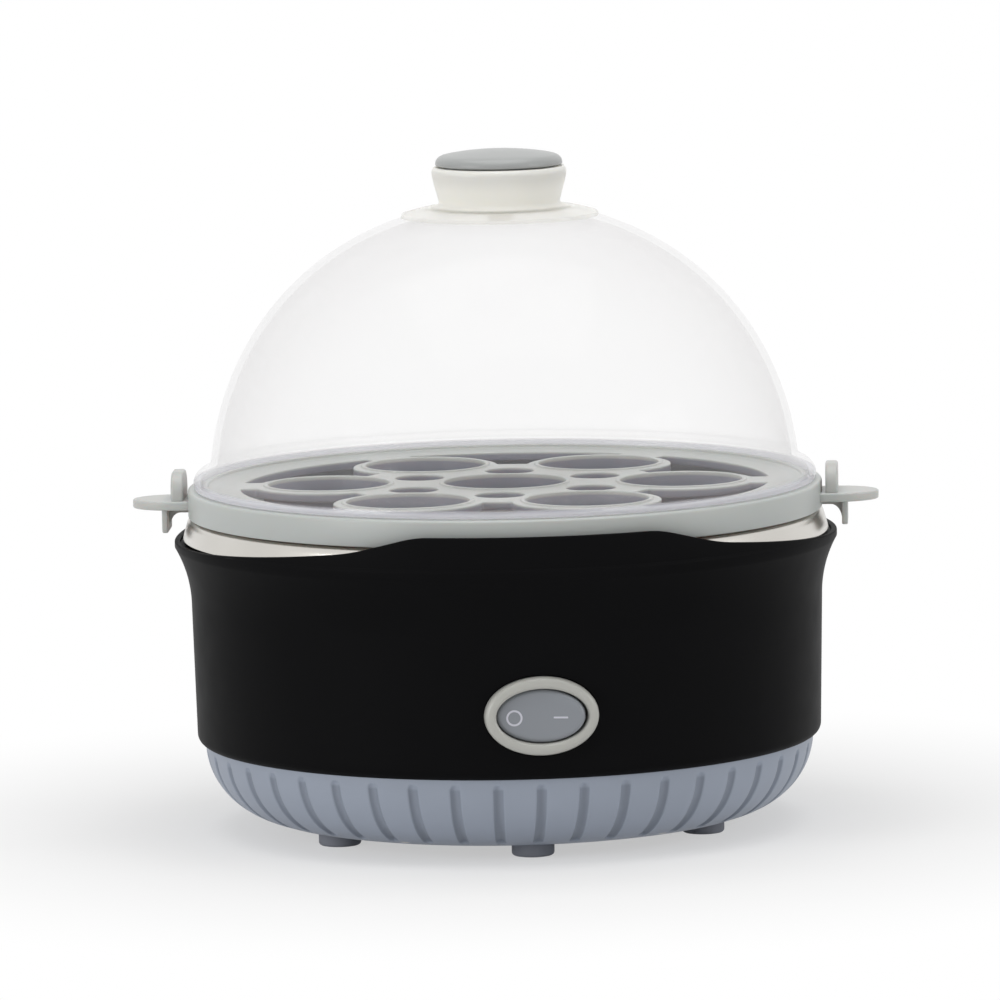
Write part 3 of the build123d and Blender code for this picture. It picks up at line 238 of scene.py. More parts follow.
def placed(name, data):
    """A new object in the scene."""
    made = bpy.data.objects.new(name, data)
    bpy.context.scene.collection.objects.link(made)
    return made


class Skin:
    """Gathers grids of points in millimetres, then becomes one welded mesh object."""

    def __init__(self):
        self.points = []
        self.faces = []
        self.slots = []
        self.count = 0

    def add(self, points, faces, slot=0):
        points = np.asarray(points, float).reshape(-1, 3)
        self.points.append(points)
        self.faces += (np.asarray(faces) + self.count).tolist()
        self.slots += [slot] * len(faces)
        self.count += len(points)

    def grid(self, points, wrap_rows=False, wrap_cols=False, keep=None, slot=0):
        """Quads between the neighbours of a (rows, columns, 3) array, less the cells not kept."""
        rows, cols = points.shape[:2]
        index = np.arange(rows * cols).reshape(rows, cols)
        if wrap_rows:
            index = np.vstack([index, index[:1]])
        if wrap_cols:
            index = np.hstack([index, index[:, :1]])
        quads = np.stack([index[:-1, :-1], index[1:, :-1], index[1:, 1:], index[:-1, 1:]], -1)
        if keep is not None:
            quads = quads[keep]
        self.add(points, quads.reshape(-1, 4), slot)

    def flat(self, outline, openings, place):
        """Flat triangles inside an outline, less those whose middle lies in an opening."""
        loops = [outline] + openings
        ends = np.cumsum([0] + [len(loop) for loop in loops])
        edges = [
            (a, a + 1 if a + 1 < high else low)
            for low, high in zip(ends[:-1], ends[1:])
            for a in range(low, high)
        ]
        flat = [Vector(p) for p in np.vstack(loops).tolist()]
        only_inside, same_point = 1, 1e-6
        rim = list(range(len(outline)))
        made = delaunay_2d_cdt(flat, edges, [rim], only_inside, same_point)
        points = np.array([list(p) for p in made[0]])
        faces = np.array(made[2])
        middles = points[faces].mean(1)
        for loop in openings:
            outside = ~within(middles, loop)
            faces, middles = faces[outside], middles[outside]
        self.add(place(points), faces)

    def build(self, name, node, body, slot, smooth=40, more=()):
        """The welded mesh as a piece that rides a body and replaces a node of the frame."""
        mesh = bpy.data.meshes.new(name)
        mesh.from_pydata((np.vstack(self.points) * MM).tolist(), [], self.faces)
        mesh.polygons.foreach_set("material_index", np.array(self.slots, np.int32))
        welded = bmesh.new()
        welded.from_mesh(mesh)
        bmesh.ops.remove_doubles(welded, verts=welded.verts, dist=WELD)
        bmesh.ops.recalc_face_normals(welded, faces=welded.faces)
        welded.to_mesh(mesh)
        welded.free()
        mesh.shade_smooth()
        mesh.set_sharp_from_angle(angle=np.radians(smooth))
        for finish in (slot, *more):
            mesh.materials.append(finishes.get(finish))
        piece = placed(name, mesh)
        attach(piece, body)
        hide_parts(node)


def turned(skin, profile, columns=256, at=(0, 0), closed=True, place=np.asarray):
    """Profile turned about an upright axis: (r, z) at angle a goes to (r cos a, r sin a, z)."""
    a = full_turn(columns)[:, None]
    r, z = profile.T
    points = xyz(at[0] + r * np.cos(a), at[1] + r * np.sin(a), z)
    skin.grid(place(points), wrap_rows=True, wrap_cols=closed)


def swept(skin, loop, section, place):
    """A section carried round a flat closed loop: its point (d, h) lies d outwards from the
    loop along the loop's normal, and h above it."""
    out = -line_normals(loop, True)
    flat = loop[:, None] + out[:, None] * section[None, :, :1]
    skin.grid(place(xyz(flat[..., 0], flat[..., 1], section[:, 1])), wrap_rows=True)
    return flat[:, 0], flat[:, -1]


def slab(skin, loop, low, high, edge, place):
    """A plate with a given outline and rounded edges, from one height to another. Its flat
    faces begin a little further in than the edges."""
    lower = arc((-edge, low + edge), edge, -90, 0, 5)
    upper = arc((-edge, high - edge), edge, 0, 90, 5)
    inset = edge + 0.25
    section = np.vstack([[(-inset, low)], lower, upper, [(-inset, high)]])
    for ring, height in zip(swept(skin, loop, section, place), (low, high)):
        skin.flat(ring, [], lambda p, h=height: place(xyz(*p.T, h)))


def pierced(skin, place, us, vs, holes):
    """The surface place(u, v) on a grid with openings. The cells of each hole's box are left
    out, and rings run from the hole's edge e to the box's border b as e + (b - e) t. Gives
    back the angles of the points on each hole's edge."""
    u, v = np.meshgrid(us, vs, indexing="ij")
    keep = np.ones((len(us) - 1, len(vs) - 1), bool)
    t = np.linspace(0, 1, 7)[:, None, None]
    angles = []
    for (u0, u1, v0, v1), edge in holes:
        i0, i1 = np.searchsorted(us, (u0, u1))
        j0, j1 = np.searchsorted(vs, (v0, v1))
        keep[i0:i1, j0:j1] = False
        sides = (
            (us[i0:i1], vs[j0]),
            (us[i1], vs[j0:j1]),
            (us[i1:i0:-1], vs[j1]),
            (us[i0], vs[j1:j0:-1]),
        )
        border = np.vstack([np.column_stack(np.broadcast_arrays(*side)) for side in sides])
        middle = np.array([(us[i0] + us[i1]) / 2, (vs[j0] + vs[j1]) / 2])
        span = np.array([(us[i1] - us[i0]) / 2, (vs[j1] - vs[j0]) / 2])
        aim = (border - middle) / span
        angles.append(np.arctan2(aim[:, 1], aim[:, 0]))
        rim = edge(angles[-1])
        rings = rim + (border - rim) * t
        skin.grid(place(rings[..., 0], rings[..., 1]), wrap_cols=True)
    skin.grid(place(u, v), keep=keep)
    return angles


# Finishes

DRIFT = (24, 3)  # size in millimetres and detail of the slow changes of colour
HANDLING = (9, 5)  # and of the marks that show in the gloss


class Wire:
    """A socket in a finish. Sums and products of wires and numbers add their Math nodes."""

    def __init__(self, finish, socket):
        self.finish = finish
        self.socket = socket

    def __add__(self, other):
        return self.finish.math("ADD", self, other)

    __radd__ = __add__

    def __sub__(self, other):
        return self.finish.math("SUBTRACT", self, other)

    def __rsub__(self, other):
        return self.finish.math("SUBTRACT", other, self)

    def __mul__(self, other):
        return self.finish.math("MULTIPLY", self, other)

    __rmul__ = __mul__

    def __truediv__(self, other):
        return self.finish.math("DIVIDE", self, other)

    def __rtruediv__(self, other):
        return self.finish.math("DIVIDE", other, self)

    def __pow__(self, other):
        return self.finish.math("POWER", self, other)


class Nodes:
    """Short calls that add nodes to one tree."""

    def __init__(self, tree):
        self.tree = tree

    def feed(self, socket, value):
        if isinstance(value, Wire):
            self.tree.links.new(value.socket, socket)
        else:
            socket.default_value = value

    def node(self, kind, settings=None, values=None, out=0):
        made = self.tree.nodes.new("ShaderNode" + kind)
        for key, value in (settings or {}).items():
            setattr(made, key, value)
        for key, value in (values or {}).items():
            self.feed(made.inputs[key], value)
        return None if out is None else Wire(self, made.outputs[out])

    def math(self, operation, first, second=0.0):
        return self.node("Math", {"operation": operation}, {0: first, 1: second})

    def seen(self):
        """1 for what the camera, mirrors and clear walls look at, 0 for the light itself."""
        camera, mirror, clear = (
            self.node("LightPath", out=f"Is {ray} Ray")
            for ray in ("Camera", "Glossy", "Transmission")
        )
        return self.math("MAXIMUM", self.math("MAXIMUM", camera, mirror), clear)


class Finish(Nodes):
    """One material, with its Principled surface and the piece's own coordinates."""

    def __init__(self, name):
        self.material = bpy.data.materials.new(name)
        self.material.use_nodes = True
        super().__init__(self.material.node_tree)
        self.surface = self.tree.nodes["Principled BSDF"]
        self.place = self.node("TexCoord", out="Object")

    def vector(self, operation, values, out=0):
        return self.node("VectorMath", {"operation": operation}, values, out)

    def axis(self, name):
        """One coordinate of the piece's own place, in millimetres."""
        return self.node("SeparateXYZ", None, {0: self.place}, name) * (1 / MM)

    def radius(self):
        """Distance from the upright axis, in millimetres."""
        flat = self.vector("MULTIPLY", {0: self.place, 1: (1, 1, 0)})
        return self.vector("LENGTH", {0: flat}, "Value") * (1 / MM)

    def noise(self, size, detail, squeeze=(1, 1, 1)):
        """Noise from 0 to 1 whose patches are about size millimetres across, over the squeeze."""
        scale = tuple(1 / (size * MM) * s for s in squeeze)
        where = self.vector("MULTIPLY", {0: self.place, 1: scale})
        values = {"Vector": where, "Scale": 1.0, "Detail": detail}
        return self.node("TexNoise", None, values)

    def ramp(self, value, low, high):
        """0 at low, 1 at high, and an easy step between."""
        values = {"Value": value, "From Min": low, "From Max": high}
        return self.node("MapRange", {"interpolation_type": "SMOOTHSTEP"}, values)

    def mix(self, share, first, second):
        """Two colours mixed: sockets 6 and 7 of the node are its colours, 2 is the result."""
        values = {0: share, 6: first, 7: second}
        return self.node("Mix", {"data_type": "RGBA"}, values, 2)

    def bump(self, height, depth):
        """Relief from a height of 0 to 1 that is depth millimetres deep."""
        return self.node("Bump", None, {"Distance": depth * MM, "Height": height})

    def coat(self, **values):
        for key, value in values.items():
            self.feed(self.surface.inputs[key.replace("_", " ")], value)


def tint(colour, factor):
    """A colour made lighter or darker, with full alpha."""
    return tuple(min(c * factor, 1.0) for c in colour[:3]) + (1.0,)


def moulded(f, colour, rough, mottle, grain, grain_size, specular, wear=0.05, shade=None, **more):
    """Moulded plastic or rubber: slow colour drift, a fine grain, handling marks that show
    only in the gloss, and painted shade: a second colour where a mask says so."""
    base = f.mix(f.noise(*DRIFT), tint(colour, 1 - mottle), tint(colour, 1 + mottle))
    if shade:
        mask, second = shade
        # painted shade: the mask mixes in the darker second colour
        base = f.mix(mask, base, second)
    gloss = rough - wear / 2 + wear * f.noise(*HANDLING)
    relief = f.bump(f.noise(grain_size, 1), grain)
    looks = {"Base_Color": base, "Roughness": gloss, "Normal": relief}
    f.coat(Specular_IOR_Level=specular, **looks, **more)


def metal(f, colour, rough, grain, depth, squeeze=(1, 1, 1)):
    """Metal with a grain that is squeezed along some axes, and slow drift in its colour."""
    streaks = f.noise(grain, 2, squeeze)
    cloud = f.noise(18, 3)
    base = f.mix(cloud, tint(colour, 0.92), tint(colour, 1.06))
    gloss = rough - 0.04 + 0.08 * streaks + 0.05 * cloud
    f.coat(Base_Color=base, Metallic=1.0, Roughness=gloss, Normal=f.bump(streaks, depth))


# Colour or its setting, roughness, colour drift, depth and size of the grain, shine, wear
MOULDED = {
    "black_body": ("body", 0.46, 0.1, 0.003, 0.3, 0.02, 0.1),
    "foot_rubber": ("foot", 0.72, 0.12, 0.02, 0.5, 0.25),
    "bezel_grey": ("bezel", 0.3, 0.03, 0.002, 0.3, 0.5),
    "rocker_grey": ("rocker", 0.3, 0.02, 0.002, 0.3, 0.4),
    "mark_white": ("mark", 0.5, 0.03, 0.002, 0.2, 0.3),
    "cap_grey": ("cap", 0.34, 0.03, 0.002, 0.3, 0.4),
    "inner_black": ((0.02, 0.02, 0.021), 0.55, 0.15, 0.006, 0.5, 0.4),
    "ceramic_white": ((0.8, 0.78, 0.73), 0.35, 0.05, 0.006, 0.6, 0.5),
    "silicone": ((0.72, 0.72, 0.7), 0.6, 0.04, 0.004, 0.6, 0.4),
}
# Colour, roughness, size and depth of the grain, squeeze
METALS = {
    "element_steel": ((0.34, 0.32, 0.3), 0.42, 0.8, 0.01),
    "cast_alloy": ((0.58, 0.58, 0.57), 0.5, 0.7, 0.03),
    "brass_tab": ((0.68, 0.53, 0.27), 0.3, 0.4, 0.003, (20, 1, 1)),
}


class Finishes:
    """Makes each finish once, from the tables or by the method with its name."""

    def __init__(self):
        self.made = {}

    def get(self, name):
        if name not in self.made or name not in bpy.data.materials:
            f, colours = Finish(name), bpy.context.scene.egg_cooker_colours
            if name in MOULDED:
                colour, *looks = MOULDED[name]
                colour = getattr(colours, colour) if isinstance(colour, str) else colour
                moulded(f, colour, *looks)
            elif name in METALS:
                metal(f, *METALS[name])
            else:
                getattr(self, name)(f, colours)
            self.made[name] = f.material
        return self.made[name]

    def grey_base(self, f, c):
        """Painted shade in the middle of each flute: the angle from the front over the pitch, less
        its whole number, times the pitch and the radius, is the distance from its line."""
        half_width, low_end, high_end = (1.5, 1.2), (5.1, 5.9), (22.0, 21.0)
        shift = 20.5  # whole pitches and a half, so that the line itself gives 0
        turn = f.math("ARCTAN2", f.axis("X"), -1 * f.axis("Y"))
        pitch = 2 * np.pi / sizes().flutes
        apart = f.math("ABSOLUTE", f.math("FRACT", turn / pitch + shift) - 0.5)
        aside = f.ramp(apart * f.radius() * pitch, *half_width)
        flutes = aside * f.ramp(f.axis("Z"), *low_end) * f.ramp(f.axis("Z"), *high_end)
        # painted shade: the base colour at 0.78 along each flute's line
        shade = (flutes, tint(c.base, 0.78))
        moulded(f, c.base, 0.46, 0.05, 0.005, 0.4, 0.3, shade=shade)

    def tray_grey(self, f, c):
        """Painted shade, bluish grey, on the collars' walls and below the plate."""
        under_plate, inside_rim = (93.7, 92.9), (77.6, 76.6)
        # painted shade on the collars' walls and the plate's underside, inside the rim
        painted_well_shade = f.ramp(f.axis("Z"), *under_plate) * f.ramp(f.radius(), *inside_rim)
        looks = {"shade": (painted_well_shade, c.well), "Subsurface_Weight": 0.08}
        moulded(f, c.tray, 0.36, 0.03, 0.003, 0.4, 0.35, **looks)

    def fuse_sleeve(self, f, c):
        threads = 7.0  # radians of the weave for each millimetre
        weave = f.math("SINE", f.axis("X") * threads) * f.math("SINE", f.axis("Z") * threads)
        base = f.mix(weave * 0.5 + 0.5, (0.62, 0.6, 0.52, 1), (0.84, 0.82, 0.74, 1))
        f.coat(Base_Color=base, Roughness=0.8, Normal=f.bump(weave, 0.05))

    def milky_knob(self, f, c):
        grip_r, clear_r = 17.2, 21.0
        skirt = f.ramp(f.radius(), grip_r, clear_r)
        f.coat(
            Base_Color=f.mix(f.noise(20, 3), tint(c.knob, 0.97), tint(c.knob, 1.03)),
            Roughness=0.3 + 0.06 * f.noise(*HANDLING),
            Alpha=1 - 0.68 * skirt,
            Subsurface_Weight=0.35,
            Subsurface_Radius=(1.0, 0.9, 0.75),
            Subsurface_Scale=0.006,
            Specular_IOR_Level=0.4,
        )

    def clear_dome(self, f, c):
        edge = f.node("LayerWeight", None, {"Blend": 0.32}, "Facing")
        smear = f.ramp(f.noise(38, 4), 0.45, 0.8)
        # painted highlight: below clear_z the dome's foot turns lighter and more opaque
        clear_z, foot_z = 96.6, 95.6
        foot = f.ramp(f.axis("Z"), clear_z, foot_z)
        f.coat(
            Base_Color=f.mix(foot, c.dome, c.dome_edge),
            Roughness=0.05 + 0.05 * smear,
            Alpha=0.035 + 0.36 * edge**2.2 + 0.012 * smear + 0.4 * foot,
            Specular_IOR_Level=0.6,
        )

    def steel(self, f, c):
        rings_per_mm = 1.3
        values = {"W": f.radius() * rings_per_mm, "Detail": 2.0}
        rings = f.node("TexNoise", {"noise_dimensions": "1D"}, values)
        cloud = f.noise(22, 3)
        base = f.mix(cloud, (0.57, 0.55, 0.515, 1), (0.67, 0.65, 0.61, 1))
        gloss = 0.16 + 0.08 * rings + 0.06 * cloud
        f.coat(Base_Color=base, Metallic=1.0, Roughness=gloss, Normal=f.bump(rings, 0.001))


finishes = Finishes()


# Pieces


def sizes():
    return bpy.context.scene.egg_cooker_sizes


class EGGCOOKER_OT_base(bpy.types.Operator):
    """Makes the blue-grey base cover with its fluted corner."""

    bl_idname = "eggcooker.base"
    bl_label = "Base cover"

    def execute(self, context):
        flutes, depth = sizes().flutes, sizes().flute_depth / MM
        flute_r, soft = 1.6, 0.003
        base_r, bottom, wall = 83.2, 3.5, 2.4
        centre, corner = (61.2, JOINT_Z), np.array([22.0, 20.8])
        first_angle, last_angle = 297, 352
        outside = np.vstack([[(0.0, bottom)], arc(centre, corner, 270, 360, 400)])
        outside[-1, 1] = JOINT_Z
        reach = lengths(outside)
        normal = line_normals(outside, False)
        ends = arc(centre, corner, first_angle, last_angle, 2)
        low, high = np.interp(ends[:, 0], outside[:, 0], reach)
        pitch = 2 * np.pi / flutes

        def place(u, v):
            """The turned outside, sunk by the flutes: a ball of the flute's radius, run along
            each flute's line, cuts sqrt(R^2 - d^2) - (R - depth) deep at a distance d."""
            r, z = read(outside, reach, v)
            out, up = read(normal, reach, v)
            aside = r * ((u + pitch / 2) % pitch - pitch / 2)
            beyond = np.maximum(0, np.maximum(low - v, v - high))
            inside = np.maximum(flute_r**2 - aside**2 - beyond**2, 0)
            cut = np.sqrt(inside) - (flute_r - depth)
            cut = (cut + np.sqrt(cut**2 + soft)) / 2
            return about_axis(r + cut * out, z + cut * up, u)

        near, usual = 1.35, 8  # degrees: half of a flute's close columns, pitch of 45 flutes
        first = -15  # the flute where the grid is joined
        between = np.linspace(near, usual - near, 7)[1:-1]
        step = 360 / flutes
        columns = np.concatenate([np.linspace(-near, near, 15), between * (step / usual)])
        us = np.sort((columns[None] + step * np.arange(first, flutes + first)[:, None]).ravel())
        us = np.radians(np.append(us, us[0] + 360))
        edge, flat_end, last_row = 1.5, reach[1] - 6, reach[-1] - 0.7
        stops = (0, flat_end, low - edge, low + edge, high - edge, high + edge)
        rows = [np.linspace(*span) for span in zip(stops[:-1], stops[1:], (3, 6, 8, 16, 8))]
        rows.append([last_row, reach[-1]])
        skin = Skin()
        skin.grid(place(*np.meshgrid(us[:-1], np.unique(np.concatenate(rows)), indexing="ij")), True)
        joint = [(base_r, JOINT_Z), (80.7, JOINT_Z), (80.7, 26.5), (79.3, 26.5), (79.3, 22.1)]
        bend = arc(centre, corner - wall, 355, 270, 10)
        inside = np.vstack([joint, bend, [(0.0, bottom + wall)]])
        skin.grid(about_axis(inside[:, 0], inside[:, 1], us[:-1, None]), wrap_rows=True)
        skin.build("base_shell", "base_cover", "base", "grey_base")
        return {"FINISHED"}


class EGGCOOKER_OT_feet(bpy.types.Operator):
    """Makes the six round rubber feet."""

    bl_idname = "eggcooker.feet"
    bl_label = "Feet"

    def execute(self, context):
        circle_r, foot_r, foot_h, stem_r, stem_top = 57.2, 5.75, 3.5, 2.2, 6.2
        corners = [(0, 0), (foot_r, 0), (foot_r, foot_h)]
        corners += [(stem_r, foot_h), (stem_r, stem_top), (0, stem_top)]
        profile = rounded(corners, [0, 0.9, 0, 0, 0, 0])
        for number in range(6):
            angle = np.radians(30 + 60 * number)
            skin = Skin()
            turned(skin, profile, 48, (circle_r * np.cos(angle), circle_r * np.sin(angle)))
            name = f"foot_{number + 1}"
            skin.build(name + "_pad", name, "base", "foot_rubber")
        return {"FINISHED"}


class EGGCOOKER_OT_body(bpy.types.Operator):
    """Makes the black body with its flared lip and the raised front and rear rims."""

    bl_idname = "eggcooker.body"
    bl_label = "Body shell"

    body_r, corner_r, wall_low, wall_t = 85.4, 2.5, 26.8, 2.4
    waist = (86.2, 62.0)
    lip_r, lip_z = 90.5, 78.5
    ledge_r, ledge_z = 83.7, 79.4
    spreads = (0.24, 0.13)  # radians: half of each hole's box

    def execute(self, context):
        skin = Skin()
        us = np.radians(np.linspace(-90, 270, 481))
        corner = arc((self.body_r - self.corner_r, self.wall_low), self.corner_r, 270, 360, 8)
        wall = np.linspace((self.body_r, self.wall_low), self.waist, 24)
        flare = flared(self.waist, (self.lip_r, self.lip_z), 22)
        outer = np.vstack([corner, wall[1:], flare[1:]])
        inner = wall[::-1] - (self.wall_t, 0)
        self.walls(skin, us, outer, inner)
        self.rim(skin, us)
        ring_r, groove_r, seat_z, joint_r = 83.4, 81.2, 77.0, 80.8
        lining = [(self.ledge_r, self.ledge_z), (ring_r, self.ledge_z + 0.3), (ring_r, 83.6)]
        lining += [(groove_r, 83.6), (groove_r, 72.0), (ring_r, 72.0), (ring_r, seat_z), (86.9, seat_z)]
        joint = [(joint_r, self.wall_low), (joint_r, JOINT_Z), (self.body_r - self.corner_r, JOINT_Z)]
        above = np.vstack([lining, flared(inner[0], (86.6, seat_z), 12)[::-1]])
        below = np.vstack([inner[-1:], joint])
        for r, z in (above.T, below.T):
            skin.grid(about_axis(r, z, us[:-1, None]), wrap_rows=True)
        skin.build("body_shell", "outer_body", "base", "black_body", 50)
        return {"FINISHED"}

    def walls(self, skin, us, outer, inner):
        """The outer and the inner wall, and the stepped rims of the holes through them. A hole
        is its middle angle, half width, half height, middle height and way up."""
        place, reach = shell_place(outer)
        in_place, in_reach = shell_place(inner)
        outside = ((0, 15.6, 10.9, SWITCH_Z, 1), (np.pi, 7.6, 7.6, INLET_Z, 1))
        inside = ((0, 13.7, 9.3, SWITCH_Z, -1), (np.pi, 5.1, 5.1, INLET_Z, -1))
        out_rows, in_rows = ((27.5, 56.5), (25.5, 43.5)), ((57.5, 28.4), (46.8, 26.9))
        out_holes = self.holes(outside, out_rows, outer, reach)
        in_holes = self.holes(inside, in_rows, inner, in_reach)
        out_angles = pierced(skin, place, us, reach, out_holes)
        in_angles = pierced(skin, in_place, us, in_reach, in_holes)
        for k, depth in enumerate((84.4, INLET_SEAT)):
            a, b = np.sort(out_angles[k]), np.sort(-in_angles[k])
            rows = [
                place(*out_holes[k][1](a).T),
                self.seated(outside[k], a, depth),
                self.seated(inside[k], b, depth),
                in_place(*in_holes[k][1](-b).T),
            ]
            skin.grid(np.stack(rows), wrap_cols=True)

    def holes(self, holes, rows, line, reach):
        """Each hole's box in the wall's sheet, with its edge: at angle a it lies at the width
        w cos a and the height z + h sin a, where the wall's own angle is the arcsine of the
        width over the wall's radius."""
        order = np.argsort(line[:, 1])
        r_line, z_line = line[order].T
        found = []
        for (middle, half_w, half_h, height, up), spread, row in zip(holes, self.spreads, rows):

            def edge(angle, middle=middle, half_w=half_w, half_h=up * half_h, height=height):
                z = height + half_h * np.sin(angle)
                turn = middle + np.arcsin(half_w * np.cos(angle) / np.interp(z, z_line, r_line))
                return np.column_stack([turn, np.interp(z, z_line, reach[order])])

            box = (middle - spread, middle + spread, *np.interp(row, z_line, reach[order]))
            found.append((box, edge))
        return found

    def seated(self, hole, angle, depth):
        """A hole's outline on the flat seat, at a depth from the axis."""
        middle, half_w, half_h, height, _ = hole
        way = np.cos(middle)
        return xyz(way * half_w * np.cos(angle), -way * depth, height + half_h * np.sin(angle))

    def rim(self, skin, us):
        """The rim from the lip up: a crease, a step back, a round top and the fall to the ledge."""
        out_r, in_r, top_round = 90.1, 88.8, 0.4
        crease_z, step_z, ease = 80.8, 81.2, 0.3
        top = self.rim_height(np.abs(out_r * np.sin(us)))
        low_top = top - top_round
        edge_r = np.interp(top, [crease_z, step_z], [self.lip_r, out_r])
        heights = (crease_z - ease, crease_z, step_z, step_z + ease)
        radii = (self.lip_r, self.lip_r, edge_r, edge_r)
        lines = [(self.lip_r, self.lip_z)]
        lines += [(r, np.minimum(z, low_top)) for r, z in zip(radii, heights)]
        turn = np.radians(np.linspace(0, 90, 5))
        for start, way, turns in ((edge_r, -1, turn), (in_r, 1, turn[::-1])):
            for t in turns:
                back, drop = top_round * (1 - np.cos(t)), top_round * (1 - np.sin(t))
                lines.append((start + way * back, top - drop))
        lines += [(in_r, self.ledge_z), (self.ledge_r, self.ledge_z)]
        r, z = (np.stack([line[k] + 0 * top for line in lines], 1) for k in (0, 1))
        skin.grid(about_axis(r, z, us[:, None]))

    def rim_height(self, x):
        """The rim's height by the distance from the middle: a level top, a steep ramp and a
        long fall, joined by easy curves: the mean over a short window rounds the corners."""
        half_window = 3.5
        window = np.linspace(-half_window, half_window, 15)
        corners_x = [0, 33.0, 50.0, 90.5]
        corners_z = [89.8, 89.8, 85.0, 79.9]
        return np.mean([np.interp(np.abs(x + w), corners_x, corners_z) for w in window], axis=0)


class EGGCOOKER_OT_bowl(bpy.types.Operator):
    """Makes the polished steel bowl with its rolled and flared rim."""

    bl_idname = "eggcooker.bowl"
    bl_label = "Steel bowl"

    def execute(self, context):
        corners = [(0, 60.0), (78.8, 60.0), (80.4, 85.4), (86.0, 85.4), (87.4, 80.3)]
        path = rounded(corners, [0, 8, 1.2, 1.2, 0], 9)
        path = resampled(path[8:-8], 0.9)
        wall = 0.8
        inside = path + line_normals(path, False) * wall
        skin = Skin()
        turned(skin, np.vstack([path, inside[::-1]]))
        skin.build("bowl_shell", "steel_bowl", "base", "steel", 50)
        return {"FINISHED"}


class EGGCOOKER_OT_tray(bpy.types.Operator):
    """Makes the egg tray: rim, pierced plate with collars, and the two handles."""

    bl_idname = "eggcooker.tray"
    bl_label = "Egg tray"

    top, low = 93.8, 91.4
    plate_r = 74.5
    egg_r, egg_pitch, collar = 16.65, 48.2, 1.2
    steam_r = 6.75
    rim_columns, egg_columns, vent_columns = 288, 72, 48

    def execute(self, context):
        skin = Skin()
        self.rim(skin)
        self.plate(skin)
        self.handles(skin)
        skin.build("tray_shell", "egg_tray", "tray", "tray_grey", 45)
        return {"FINISHED"}

    def lay(self, points):
        """The tray's own points turned about the axis to how it lies on the body."""
        return spin(points, sizes().tray_turn)

    def rim(self, skin):
        """Each corner of the rim's section as its radius, height and rounding."""
        top, low = self.top, self.low
        upper = [(self.plate_r, top, 0), (78.8, top, 1), (81, 94.2, 0.2), (81, 94.9, 0.35)]
        outer = [(82.4, 94.9, 0.35), (82.4, 93.9, 0.3), (86.6, 93.9, 0.7), (86.6, 86.5, 0.3)]
        under = [(84.8, 86.5, 0.3), (84.8, 92.3, 0.2), (81.9, 92.3, 0.2), (78.6, low, 0.2)]
        inner = [(78.6, 84.5, 0.3), (77, 84.5, 0.3), (77, low, 0.2), (self.plate_r, low, 0)]
        corners = np.array(upper + outer + under + inner)
        profile = rounded(corners[:, :2], corners[:, 2])
        turned(skin, profile[4:-4], self.rim_columns, closed=False, place=self.lay)

    def plate(self, skin):
        top, low, egg_r = self.top, self.low, self.egg_r
        out_r, high, deep = egg_r + self.collar, 94.3, 88.8
        edge, lead, ring_edge = 0.35, 0.45, [0, 0.4, 0.4, 0]
        a = full_turn(6)
        eggs = np.vstack([[(0.0, 0.0)], round_line((0, 0), self.egg_pitch, a)])
        vents = round_line((0, 0), self.egg_pitch / np.sqrt(3), a + np.radians(30))

        up = arc((out_r + edge, top + edge), edge, 270, 180, 4)
        lip = rounded([(out_r, top + edge), (out_r, high), (egg_r, high), (egg_r, deep)], ring_edge)
        foot = rounded([(egg_r, high), (egg_r, deep), (out_r, deep), (out_r, low)], ring_edge)
        egg_line, vent_line = out_r + edge + lead, self.steam_r + edge + lead
        egg_wall = np.vstack([[(egg_line, top)], up, lip[5:-5], foot[5:-5], [(out_r, low)]])
        upper = arc((edge, top - edge), edge, 90, 180, 5)
        lower = arc((edge, low + edge), edge, 180, 270, 5)
        wall = np.vstack([[(edge + lead, top)], upper, lower, [(edge + lead, low)]])
        for spot in eggs:
            turned(skin, egg_wall, self.egg_columns, spot, False, self.lay)
        for spot in vents:
            turned(skin, wall + (self.steam_r, 0), self.vent_columns, spot, False, self.lay)
        cut = self.cut_out()
        cuts = [swept(skin, spin(cut, np.radians(60 * k)), wall, self.lay)[0] for k in range(6)]

        outline = round_line((0, 0), self.plate_r, full_turn(self.rim_columns))
        egg_turn, vent_turn = full_turn(self.egg_columns), full_turn(self.vent_columns)
        vent_loops = [round_line(spot, vent_line, vent_turn) for spot in vents]
        for height, radius in ((top, egg_line), (low, out_r)):
            loops = [round_line(spot, radius, egg_turn) for spot in eggs] + vent_loops + cuts
            skin.flat(outline, loops, lambda p, h=height: self.lay(xyz(*p.T, h)))

    def cut_out(self):
        """The scalloped opening between two egg holes: an outer and an inner arc about the
        tray's axis, two arcs round the egg holes and two straight sides along their webs."""
        inner_r, outer_r, web, gap, trim = 43.5, 72.2, 6.5, self.egg_r + 3.4, 1.1
        pitch, step = self.egg_pitch, np.radians(60)
        start = np.arcsin(web / outer_r)
        outer = round_line((0, 0), outer_r, np.linspace(start, step - start, 40))
        meet = np.arccos((pitch**2 + inner_r**2 - gap**2) / (2 * pitch * inner_r))
        inner = round_line((0, 0), inner_r, np.linspace(meet, step - meet, 16))
        corner = np.array([pitch + np.sqrt(gap**2 - web**2), web])
        side = np.linspace([np.sqrt(outer_r**2 - web**2), web], corner, 10)
        first = np.arctan2(web, corner[0] - pitch)
        last = np.arctan2(inner[0][1], inner[0][0] - pitch)
        scallop = round_line((pitch, 0), gap, np.linspace(first, last, 30))

        def mirrored(line):
            """The same line on the other side of the opening's middle."""
            direction = np.array([np.cos(step / 2), np.sin(step / 2)])
            return 2 * (line @ direction)[:, None] * direction - line

        sides = [outer, mirrored(side), mirrored(scallop), inner[::-1], scallop[::-1], side[::-1]]
        return joined_sides(sides, trim)

